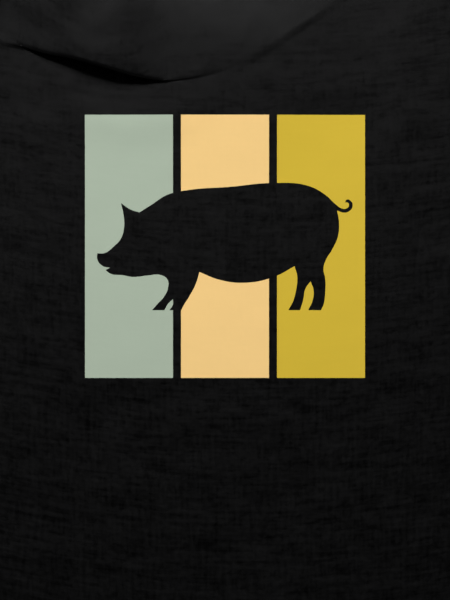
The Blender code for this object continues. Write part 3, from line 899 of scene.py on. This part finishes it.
# %% The neckband's path
def shoulder_fold(start, end, steps=9):
    """Half a turn over the shoulder, from one layer of the band to the other."""
    line = start[:2] - start[3:5]
    out = np.array([line[1], -line[0], 0]) / np.hypot(*line)
    out *= np.sign(out[1])
    found = []
    for turn in np.linspace(0, math.pi, steps + 2)[1:-1]:
        column = start + (end - start) * (1 - math.cos(turn)) / 2
        push = out * math.sin(turn) * abs(start[2] - end[2]) / 2
        up = start[6:] * math.cos(turn) + out * math.sin(turn)
        found.append(np.concatenate([column[:3] + push, column[3:6] + push, up]))
    return found


band_path = np.vstack([
    band_front, *shoulder_fold(band_front[-1], band_back[0]),
    band_back, *shoulder_fold(band_back[-1], band_front[0]), band_front[:1],
])
band_run = run_along((band_path[:, :3] + band_path[:, 3:6]) / 2)
print(f"neckband ring {band_run[-1] * 1000:.0f} mm round")

# %% The neckband
FLATNESS, ROUNDNESS = 0.45, 0.7


def tube_section(share):
    """A flat tube's profile: how far across it and how high, for a share of the way round."""
    cos, sin = np.cos(2 * np.pi * share), np.sin(2 * np.pi * share)
    over = 0.5 + 0.5 * np.sign(cos) * np.abs(cos) ** FLATNESS
    high = 0.5 * np.sign(sin) * np.abs(sin) ** ROUNDNESS
    return over, high


def add_tube(name, mesh):
    """Joins a wrapped grid along its seam, closes any open ends, and adds it as a piece."""
    bmesh.ops.remove_doubles(mesh, verts=mesh.verts[:], dist=TOUCHING)
    bmesh.ops.holes_fill(mesh, edges=[e for e in mesh.edges if e.is_boundary], sides=0)
    bmesh.ops.recalc_face_normals(mesh, faces=mesh.faces[:])
    return add_piece(name, mesh)


def rib_tube(ribs, per_rib=5, around=20):
    """A flat tube round the neckband's columns, with ribs across it."""
    count = ribs * per_rib
    places = np.linspace(0, band_run[-1], count, endpoint=False)
    columns = np.stack([np.interp(places, band_run, values) for values in band_path.T], 1)
    mesh, column, row = unit_grid(count, around)
    over, high = tube_section(row / around)
    thick = BAND_THICKNESS - RIB_DEPTH * (0.5 + 0.5 * np.cos(2 * np.pi * column / per_rib))
    inner, outer, up = np.split(columns[column % count], 3, axis=1)
    spot = inner + (outer - inner) * over[:, None] + up * (high * thick)[:, None]
    store_flat(mesh, column / count * band_run[-1], NECKBAND_WIDTH * (over + (high > 0)))
    place_points(mesh, *spot.T)
    return add_tube("neckband_rib", mesh)


neckband = rib_tube(round(band_run[-1] / RIB_PITCH))
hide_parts("neckband_front", "neckband_back")

# %% [markdown]
# ## Neck tape and armhole seams
#
# A narrow tape covers the seam inside the back neck, so that it doesn't scratch. The armhole
# seams are sewn with a chain of loops inside, which shows through as a low bumpy cord in the
# bottom of the seam's dip. Both are thin flat tubes between two curves.

# %% Tape and seam cords
TAPE_THICKNESS = 0.0007
CORD_THICKNESS = 0.0013
CORD_SINK = 0.0009
CORD_EDGES = (-0.0010, 0.0012)
LOOP_LENGTH = 0.0026
LOOP_DEPTH = 0.0004
SEAM_LENGTH = 0.235


def band(name, inner, outer, floor, thickness, loops=0, depth=0.0, around=8):
    """A flat tube between two curves. Loops, if any, make bumps along it."""
    inner, outer = np.array(inner), np.array(outer)
    mesh, column, row = unit_grid(len(inner) - 1, around)
    over, high = tube_section(row / around)
    turns = loops * column / (len(inner) - 1)
    thick = thickness - depth * (0.5 + 0.5 * np.cos(2 * np.pi * turns))
    plan = inner[column] + (outer[column] - inner[column]) * over[:, None]
    z = floor(plan[:, 0], plan[:, 1]) + thickness / 2 + high * thick
    width = np.hypot(*(outer - inner).T).mean()
    store_flat(mesh, run_along((inner + outer) / 2)[column], width * (over + (high > 0)))
    place_points(mesh, plan[:, 0], plan[:, 1], z)
    return add_tube(name, mesh)


def tape_floor(x, y):
    """The tape lies on the inner side of the back."""
    return np.full(x.shape, CLOTH + 0.0001)


tape_half, tape_y, tape_drop = NECK_WIDTH / 2 - 0.006, SHOULDER_Y - 0.003, BACK_NECK_DROP - 0.002
tape_high, tape_low = (
    back_neck_curve(tape_half, y, tape_drop, 160) for y in (tape_y, tape_y - TAPE_WIDTH)
)
tape = band("neck_tape_strip", tape_high, tape_low, tape_floor, TAPE_THICKNESS, around=12)
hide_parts("neck_tape")


def seam_floor(x, y):
    """The cord sits deep in the dip of the seam."""
    return lay_height(x, y) + chest_rise(x, y) - SEAM_DIP - CORD_SINK


seam_loops = round(SEAM_LENGTH / LOOP_LENGTH)
seam_cords = [
    band(
        f"{word}_armhole_seam", *(armhole(side, edge, seam_loops * 4) for edge in CORD_EDGES),
        seam_floor, CORD_THICKNESS, seam_loops, LOOP_DEPTH,
    )
    for word, side in (("left", 1), ("right", -1))
]

# %% [markdown]
# ## Stitches
#
# The hems are held by two parallel rows from a twin needle, and one row runs round the neck
# below the band. Each stitch is a small thread capsule pressed into the cloth, spaced evenly
# along the row. A squashed sphere with few faces is enough, because there are hundreds of them.

# %% Stitches
STITCH_LENGTH = 0.0030
STITCH_SPACE = 0.0037
THREAD = 0.00032
NECK_ROW = 0.0032


def sew(mesh, line, height):
    """Sets stitches along a line on the cloth."""
    line, run = np.array(line), run_along(line)
    middles = np.arange(STITCH_SPACE, run[-1] - STITCH_SPACE / 2, STITCH_SPACE)
    ends = [middles - STITCH_LENGTH / 2, middles, middles + STITCH_LENGTH / 2]
    start, middle, end = (
        np.stack([np.interp(at, run, line[:, 0]), np.interp(at, run, line[:, 1])], 1) for at in ends
    )
    heights = [height(p[:, 0], p[:, 1]) for p in (start, middle, end)]
    for a, m, b, za, zm, zb in zip(start, middle, end, *heights):
        way = Vector((*(b - a), zb - za))
        turn = way.to_track_quat("X", "Z").to_matrix().to_4x4()
        shape = Matrix.Diagonal((way.length / 2, THREAD, THREAD * 0.8, 1))
        place = Matrix.Translation((*m, zm + THREAD * 0.2))
        bmesh.ops.create_uvsphere(
            mesh, u_segments=6, v_segments=4, radius=1, matrix=place @ turn @ shape
        )
    return len(middles)


stitches = bmesh.new()
count = 0
for row in NEEDLE_ROWS:
    half = HEM_WIDTH / 2 - 0.004
    line = [(x, HEM_Y + row) for x in np.linspace(-half, half, 200)]
    count += sew(stitches, line, front_height)
    for side in (1, -1):
        count += sew(stitches, cuff_line(side, row, 0.02, 80), sleeve_height(side))
neck_row = neck_curve(NECK_WIDTH / 2 + NECK_ROW, FRONT_NECK_DROP + NECK_ROW)
neck_row = [(x, y) for x, y in neck_row if y < SHOULDER_Y - 0.006]
count += sew(stitches, neck_row, front_height)
stitching = add_piece("stitching", stitches)
print("stitches:", count)

# %% [markdown]
# ## The print
#
# Three upright colour blocks are printed side by side, and a pig in silhouette stays unprinted
# across them, so the black cloth shows through. The ink is a skin on the knit a tenth of a
# millimetre thick. A thin sliced plate is made for each block, the figure is cut out of it with
# a Boolean, and then the plate is dropped onto the cloth, following every small wave.

# %% The pig's outline
PIG_OUTLINE = [
    # x and y in mm over the ground, and a 1 at each sharp corner
    (-93.6, 97, 1), (-85, 91.2), (-77, 88.6, 1), (-66, 95.6), (-52, 104.4), (-34, 108.6),
    (4, 111.6), (46, 115.2), (74, 112.8), (90, 104.6), (100, 95.6), (104.6, 92.4), (108.8, 92),
    (111.4, 94.2), (110.8, 97.2), (108, 97.6, 1), (109.6, 100.2), (113.6, 98.6), (114.8, 94),
    (111.6, 89.6), (106.8, 88.4), (100.8, 90.4, 1), (102.6, 80), (101.6, 67), (96.6, 55.4),
    (90.8, 45.8), (88.6, 38), (90.2, 29), (90, 14), (88.8, 6), (86.4, 0.6, 1), (74.8, 0.6, 1),
    (78.6, 8.6), (79.8, 18), (77, 26.6, 1), (72.4, 20), (70.4, 10), (67.6, 0.6, 1), (57, 0.6, 1),
    (61.4, 9), (64, 19), (65, 31), (62.6, 40.2, 1), (44, 30.6), (19, 25.4), (-5, 28), (-23, 35, 1),
    (-26.4, 24), (-32.4, 12.6), (-36.6, 6), (-39.4, 0.6, 1), (-50, 0.6, 1), (-47, 5.4),
    (-46.4, 11, 1), (-51.2, 6.4), (-54.6, 0.6, 1), (-65.8, 0.6, 1), (-60.4, 6.6), (-54.4, 13.4),
    (-51.2, 21), (-52, 28.6), (-58.4, 32.4), (-70, 31.8), (-82, 30.6), (-93, 32.2), (-103, 33.4),
    (-107.6, 36.8, 1), (-103.4, 38.8, 1), (-110.4, 40.6), (-114.8, 46), (-115, 51.8, 1),
    (-108.4, 52), (-100, 58), (-93.4, 65.6), (-90.8, 75.6), (-91.2, 86),
]
print("outline points:", len(PIG_OUTLINE))

# %% The pig figure
PIG_GROUND_Y = PRINT_CENTRE_Y - 0.0580


def pig_prism():
    """The figure as an upright prism through the ink."""
    flat = bpy.data.curves.new("pig_figure", "CURVE")
    flat.dimensions = "2D"
    flat.fill_mode = "BOTH"
    flat.extrude = 0.01
    flat.resolution_u = 10
    spline = flat.splines.new("BEZIER")
    spline.bezier_points.add(len(PIG_OUTLINE) - 1)
    spline.use_cyclic_u = True
    for point, (px, py, *sharp) in zip(spline.bezier_points, PIG_OUTLINE):
        point.co = (px / 1000, PIG_GROUND_Y + py / 1000, 0)
        point.handle_left_type = point.handle_right_type = "VECTOR" if sharp else "AUTO"
    shape = bpy.data.objects.new("pig_figure", flat)
    mesh = bmesh.new()
    mesh.from_mesh(bpy.data.meshes.new_from_object(shape))
    bpy.data.objects.remove(shape)
    bmesh.ops.remove_doubles(mesh, verts=mesh.verts[:], dist=TOUCHING)
    bmesh.ops.recalc_face_normals(mesh, faces=mesh.faces[:])
    return add_mesh("pig_prism", mesh)


figure = pig_prism()
print("figure faces:", len(figure.data.polygons))

# %% [markdown]
# The Boolean runs while the plate is still flat and thick, because it cuts cleanly there. Only
# then are the upper points set just above the cloth and the lower ones just inside it.

# %% Ink blocks
INK_CELL = 0.004
PLATE = 0.002
INK = 0.00012


def ink_block(name, node, left, low, high, prism):
    """One block of ink, cut by the figure and laid onto the cloth."""
    width, length = BLOCK_WIDTH, high - low
    mesh, _, _ = unit_grid(round(width / INK_CELL), round(length / INK_CELL))
    centre = Vector((left + width / 2, (low + high) / 2, -PLATE / 2))
    bmesh.ops.scale(mesh, verts=mesh.verts[:], vec=(width, length, 1))
    bmesh.ops.translate(mesh, verts=mesh.verts[:], vec=centre)
    raised = bmesh.ops.extrude_face_region(mesh, geom=mesh.faces[:], use_keep_orig=True)
    upper = [v for v in raised["geom"] if isinstance(v, bmesh.types.BMVert)]
    bmesh.ops.translate(mesh, verts=upper, vec=(0, 0, PLATE))
    bmesh.ops.recalc_face_normals(mesh, faces=mesh.faces[:])
    plate = add_mesh(name, mesh)
    cut = plate.modifiers.new("figure", "BOOLEAN")
    cut.operation = "DIFFERENCE"
    cut.solver = "EXACT"
    cut.object = prism
    bpy.context.view_layer.update()
    ready = plate.evaluated_get(bpy.context.evaluated_depsgraph_get())
    mesh = bmesh.new()
    mesh.from_mesh(ready.to_mesh())
    bpy.data.objects.remove(plate)
    z = np.array([v.co.z for v in mesh.verts])
    x, y = plan_of(mesh)
    store_flat(mesh, x, y - grain_sag(x, y))
    place_points(mesh, x, y, front_height(x, y) + np.where(z > 0, INK, -INK))
    block = add_piece(name, mesh)
    block.data.set_sharp_from_angle(angle=math.radians(40))
    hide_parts(node)
    return block


blocks = {}
for colour, part, place, low, high in (
    ("sage", "", -1, -0.5, 0.5), ("peach", "_upper", 0, 0, 0.5),
    ("peach", "_lower", 0, -0.5, 0), ("mustard", "", 1, -0.5, 0.5),
):
    blocks[colour + part] = ink_block(
        f"{colour}_block{part}", f"print_{colour}{part}", place * BLOCK_SPACING - BLOCK_WIDTH / 2,
        PRINT_CENTRE_Y + low * BLOCK_HEIGHT, PRINT_CENTRE_Y + high * BLOCK_HEIGHT, figure,
    )
bpy.data.objects.remove(figure)

# %% [markdown]
# ## The knit, as a node group
#
# Jersey, rib and ink all show the same cloth, so its texture is built once as a node group. It
# reads the flat cloth's UV map, in metres. Rows of small V shapes make the relief. Uneven yarn
# makes thin streaks, long ones along the rows and short faint ones across them, and soft clouds
# vary the shade.

# %% Helpers for nodes
def add_node(tree, kind, **settings):
    """Adds a node, and sets its properties and its unlinked inputs by name or number."""
    node = tree.nodes.new("ShaderNode" + kind)
    for key, value in settings.items():
        if key == "inputs":
            for socket, amount in value.items():
                if isinstance(amount, bpy.types.NodeSocket):
                    tree.links.new(amount, node.inputs[socket])
                else:
                    node.inputs[socket].default_value = amount
        else:
            setattr(node, key, value)
    return node


def maths(tree, operation, *values):
    """A Math node's result."""
    inputs = dict(enumerate(values))
    return add_node(tree, "Math", operation=operation, inputs=inputs).outputs[0]


def new_material(name, finish):
    """A material with a Principled shader set to a finish, and its tree and shader."""
    made = bpy.data.materials.new(name)
    made.use_nodes = True
    shader = made.node_tree.nodes["Principled BSDF"]
    for socket, value in finish.items():
        shader.inputs[socket].default_value = value
    return made, made.node_tree, shader


def bump(tree, shader, height, strength, distance):
    """Gives a shader a relief."""
    inputs = {"Strength": strength, "Distance": distance, "Height": height}
    bumped = add_node(tree, "Bump", inputs=inputs).outputs[0]
    tree.links.new(bumped, shader.inputs["Normal"])


# %% The knit group
def knit_group():
    """Relief, shade and streaks of a slubby jersey, from a UV map in metres."""
    tree = bpy.data.node_groups.new("knit", "ShaderNodeTree")
    for name, kind, value in (
        ("Cloth", "NodeSocketVector", None),
        ("Wale", "NodeSocketFloat", 0.00080),
        ("Course", "NodeSocketFloat", 0.00065),
        ("Slub", "NodeSocketFloat", 0.5),
    ):
        socket = tree.interface.new_socket(name, in_out="INPUT", socket_type=kind)
        if value is not None:
            socket.default_value = value
    for name in ("Relief", "Shade", "Streaks"):
        tree.interface.new_socket(name, in_out="OUTPUT", socket_type="NodeSocketFloat")
    given = tree.nodes.new("NodeGroupInput").outputs
    split = add_node(tree, "SeparateXYZ", inputs={0: given["Cloth"]}).outputs
    across = maths(tree, "DIVIDE", split["X"], given["Wale"])
    up = maths(tree, "DIVIDE", split["Y"], given["Course"])
    column = maths(tree, "ABSOLUTE", maths(tree, "SINE", maths(tree, "MULTIPLY", across, math.pi)))
    slant = maths(tree, "PINGPONG", across, 0.5)
    stitch = maths(tree, "MULTIPLY", maths(tree, "ADD", up, slant), 2 * math.pi)
    loops = maths(tree, "MULTIPLY_ADD", maths(tree, "SINE", stitch), 0.5, 0.5)
    relief = maths(tree, "MULTIPLY", column, maths(tree, "MULTIPLY_ADD", loops, 0.6, 0.4))

    def streak(scale, detail, share):
        """Noise stretched along or across the cloth, from minus its share to its share."""
        stretched = add_node(
            tree, "VectorMath", operation="MULTIPLY",
            inputs={0: given["Cloth"], 1: scale},
        ).outputs[0]
        cloud = add_node(
            tree, "TexNoise", noise_dimensions="2D",
            inputs={"Vector": stretched, "Scale": 1.0, "Detail": detail, "Roughness": 0.55},
        ).outputs[0]
        return add_node(
            tree, "MapRange", inputs={0: cloud, 1: 0.3, 2: 0.7, 3: -share, 4: share},
        ).outputs[0]

    rows = maths(tree, "ADD", streak((15, 260, 1), 2.0, 0.28), streak((44, 190, 1), 3.0, 0.36))
    flecks = maths(tree, "ADD", streak((190, 250, 1), 2.0, 0.30), streak((320, 45, 1), 2.0, 0.28))
    clouds = streak((36, 50, 1), 3.0, 0.24)
    streaks = maths(tree, "ADD", rows, maths(tree, "ADD", flecks, clouds))
    shade = maths(tree, "MAXIMUM", maths(tree, "MULTIPLY_ADD", streaks, given["Slub"], 1.0), 0.1)
    out = tree.nodes.new("NodeGroupOutput")
    for name, socket in (("Relief", relief), ("Shade", shade), ("Streaks", streaks)):
        tree.links.new(socket, out.inputs[name])
    return tree


knit = knit_group()
print("knit group nodes:", len(knit.nodes))

# %% [markdown]
# ## Finishes
#
# Black cotton is dark but not flat. A rough, weak shine picks up the light along folds, and a
# little fuzz, which Principled calls sheen, lifts the edges. Rib and tape are the same yarn in
# another structure. The inks are matt, even skins of colour that soften the knit below them.

# %% Cloth and ink materials
def knitted(name, colour, finish, slub, relief, slub_relief, slub_shine):
    """A knitted finish: colour, shine and relief from loops and uneven yarn."""
    made, tree, shader = new_material(name, finish)
    cloth = add_node(tree, "TexCoord").outputs["UV"]
    pattern = add_node(
        tree, "Group", node_tree=knit, inputs={"Cloth": cloth, "Slub": slub}
    ).outputs
    tint = add_node(
        tree, "VectorMath", operation="SCALE",
        inputs={0: colour, "Scale": pattern["Shade"]},
    ).outputs[0]
    tree.links.new(tint, shader.inputs["Base Color"])
    height = maths(tree, "MULTIPLY", pattern["Relief"], relief)
    height = maths(tree, "MULTIPLY_ADD", pattern["Streaks"], slub_relief, height)
    bump(tree, shader, height, 1.0, 0.001)
    rough = maths(tree, "MULTIPLY_ADD", pattern["Streaks"], slub_shine, finish["Roughness"])
    tree.links.new(rough, shader.inputs["Roughness"])
    return made


COTTON = {
    "Roughness": 0.50,
    "Specular IOR Level": 0.100,
    "Sheen Weight": 0.008,
    "Sheen Roughness": 0.45,
    "Sheen Tint": (0.75, 0.75, 0.8, 1),
}
MATT_INK = {"Roughness": 0.65, "Specular IOR Level": 0.04}
THREAD_FINISH = {
    "Base Color": (0.009, 0.009, 0.0095, 1), "Roughness": 0.38, "Specular IOR Level": 0.35
}
TAPE_FINISH = {"Roughness": 0.5, "Specular IOR Level": 0.2}
TWILL_PITCH = 0.0009
JERSEY_BLACK = (0.0016, 0.0016, 0.00168)
RIB_BLACK = (0.0022, 0.0022, 0.0023)
INK_COLOURS = {
    "sage": (0.381, 0.451, 0.356),
    "peach": (0.880, 0.591, 0.235),
    "mustard": (0.610, 0.434, 0.040),
}
jersey = knitted(
    "black jersey", JERSEY_BLACK, COTTON, slub=0.9, relief=0.06, slub_relief=0.0045,
    slub_shine=0.125,
)
rib = knitted(
    "black rib", RIB_BLACK, COTTON, slub=0.5, relief=0.06, slub_relief=0.010, slub_shine=0.08
)
inks = {
    name: knitted(
        f"{name} ink", colour, MATT_INK, slub=0.010, relief=0.04, slub_relief=0.002,
        slub_shine=0.02,
    )
    for name, colour in INK_COLOURS.items()
}

# %% [markdown]
# Thread is smoother than cotton and shines a little along its twist. The tape is woven, so its
# relief is a slanting twill line in place of knitted loops, and its colour is painted darker in
# the twill's grooves and lighter on its ridges, as painted shade and painted highlight.

# %% Thread and tape materials
def thread_material():
    """Polyester thread, with a fine slanting twist."""
    made, tree, shader = new_material("black thread", THREAD_FINISH)
    place = add_node(tree, "TexCoord").outputs["Object"]
    twist = add_node(
        tree, "TexWave", wave_type="BANDS", bands_direction="DIAGONAL",
        inputs={"Vector": place, "Scale": 900.0},
    ).outputs[1]
    bump(tree, shader, twist, 0.4, 0.0002)
    return made


def tape_material():
    """Woven twill tape, with painted shade in its grooves and a painted highlight on its ridges."""
    made, tree, shader = new_material("black tape", TAPE_FINISH)
    cloth = add_node(tree, "TexCoord").outputs["UV"]
    split = add_node(tree, "SeparateXYZ", inputs={0: cloth}).outputs
    slant = maths(tree, "ADD", split["X"], split["Y"])
    line = maths(tree, "SINE", maths(tree, "MULTIPLY", slant, 2 * math.pi / TWILL_PITCH))
    bump(tree, shader, line, 0.5, 0.0002)
    # Painted shade and highlight: the colour follows the twill's relief, darker in the grooves.
    shade = add_node(
        tree, "MapRange", inputs={0: line, 1: -1.0, 2: 1.0, 3: 0.007, 4: 0.011}
    ).outputs[0]
    tree.links.new(shade, shader.inputs["Base Color"])
    return made


def dress(piece, material):
    """Gives a piece its finish."""
    piece.data.materials.clear()
    piece.data.materials.append(material)


for piece in (front, back, front_hem, back_hem, *sleeves, *cuff_hems, *seam_cords):
    dress(piece, jersey)
dress(neckband, rib)
dress(stitching, thread_material())
dress(tape, tape_material())
for key, block in blocks.items():
    colour = key.split("_")[0]
    dress(block, inks[colour])
print("materials:", len(bpy.data.materials))

# %% [markdown]
# ## Areas of the cloth
#
# The flat areas of the body pieces and the sleeves are worked out from their outlines, and the
# front's is printed. The front was cut longer than it lies, by what the chest fold takes up.

# %% Sheets
def flat_area(outline):
    """Area inside an outline."""
    x, y = np.array(outline).T
    return 0.5 * abs(np.dot(x, np.roll(y, -1)) - np.dot(y, np.roll(x, -1)))


body_area = flat_area(body_outline(FRONT_NECK))
flat_area(body_outline(BACK_NECK))
for sleeve, hem, cord, side in zip(sleeves, cuff_hems, seam_cords, (1, -1)):
    one_layer = flat_area([p for line in sleeve_lines(side) for p in line[:-1]])
print(f"front {body_area:.3f} square metres")

# %% [markdown]
# ## Floor, light and camera
#
# The shirt lies on a plain pale floor. The camera looks straight down on the chest, as the
# photograph does. One soft lamp stands beyond the neck, so the roll of the chest fold throws
# its shadow into the gap, and its rough shine fades from the neck towards the hem. The studio's
# walls are bright near the floor and dark above, so the cloth shows its folds from the sides too
# and stays black from above. A studio lights its far floor with lamps of its own. Here the floor
# glows a little instead, from the shirt outwards, which needs no more lamps and leaves the
# shirt's own light as it is.

# %% Floor
FLOOR_FINISH = {"Base Color": (0.72, 0.72, 0.71, 1), "Roughness": 0.8, "Emission Strength": 1.0}
FLOOR_REACH = 30
FLOOR_DROP = 0.0002
FAR_LIGHT = (0.55, 0.55, 0.545)
GLOW_START, GLOW_FULL = 0.5, 3.4
floor_mesh = bmesh.new()
bmesh.ops.create_grid(floor_mesh, x_segments=1, y_segments=1, size=FLOOR_REACH)
bmesh.ops.translate(floor_mesh, verts=floor_mesh.verts[:], vec=(0, 0, -FLOOR_DROP))
floor = add_mesh("floor", floor_mesh)
floor_paint, floor_tree, floor_shader = new_material("pale floor", FLOOR_FINISH)
floor.data.materials.append(floor_paint)
spot = add_node(floor_tree, "TexCoord").outputs["Object"]
length = add_node(floor_tree, "VectorMath", operation="LENGTH", inputs={0: spot})
glow = add_node(
    floor_tree, "MapRange", interpolation_type="SMOOTHSTEP",
    inputs={0: length.outputs["Value"], 1: GLOW_START, 2: GLOW_FULL, 3: 0.0, 4: 1.0},
).outputs[0]
far_light = add_node(
    floor_tree, "VectorMath", operation="SCALE", inputs={0: FAR_LIGHT, "Scale": glow}
).outputs[0]
floor_tree.links.new(far_light, floor_shader.inputs["Emission Color"])
print("floor glows fully", GLOW_FULL, "m from the shirt")

# %% Key lamp
KEY_PLACE, KEY_TARGET = Vector((-0.50, 3.62, 2.80)), Vector((0, 0.05, 0))
KEY_SIZE = 1.6
KEY_POWER = 321
key = bpy.data.lights.new("key lamp", "AREA")
key.shape = "SQUARE"
key.size = KEY_SIZE
key.energy = KEY_POWER
lamp = add_object("key lamp", key)
lamp.location = KEY_PLACE
lamp.rotation_euler = (KEY_TARGET - KEY_PLACE).to_track_quat("-Z", "Y").to_euler()
print("key lamp power:", KEY_POWER, "watts")

# %% Studio walls
LOW_WALLS, TOP_LIGHT, FALL = 0.80, 0.035, 4.0
world = bpy.data.worlds.new("studio")
world.use_nodes = True
bpy.context.scene.world = world
walls = world.node_tree
direction = add_node(walls, "TexCoord").outputs["Generated"]
up = add_node(walls, "SeparateXYZ", inputs={0: direction}).outputs["Z"]
low = maths(walls, "POWER", maths(walls, "SUBTRACT", 1.0, maths(walls, "ABSOLUTE", up)), FALL)
strength = maths(walls, "MULTIPLY_ADD", low, LOW_WALLS, TOP_LIGHT)
walls.links.new(strength, walls.nodes["Background"].inputs["Strength"])
walls.nodes["Background"].inputs["Color"].default_value = (1, 1, 1, 1)
print(f"walls {(LOW_WALLS + TOP_LIGHT) / TOP_LIGHT:.0f} times brighter at the floor than above")

# %% [markdown]
# The photograph's frame covers 405 by 540 mm of cloth. The sensor's width lies along the long
# side of the picture, so lens, sensor and that long side give the camera's height.

# %% Camera
FRAME_LONG_SIDE = 0.540
FRAME_CENTRE = (0.0, -0.023)
camera_data = bpy.data.cameras.new("camera")
camera_data.lens = 70
camera_data.sensor_width = 36
camera_data.clip_start = 0.05
camera = add_object("camera", camera_data)
distance = FRAME_LONG_SIDE * camera_data.lens / camera_data.sensor_width
camera.location = (*FRAME_CENTRE, LAID_HEIGHT + distance)
bpy.context.scene.camera = camera
bpy.context.scene.view_settings.view_transform = "Standard"
print(f"camera {distance:.2f} m above the cloth")
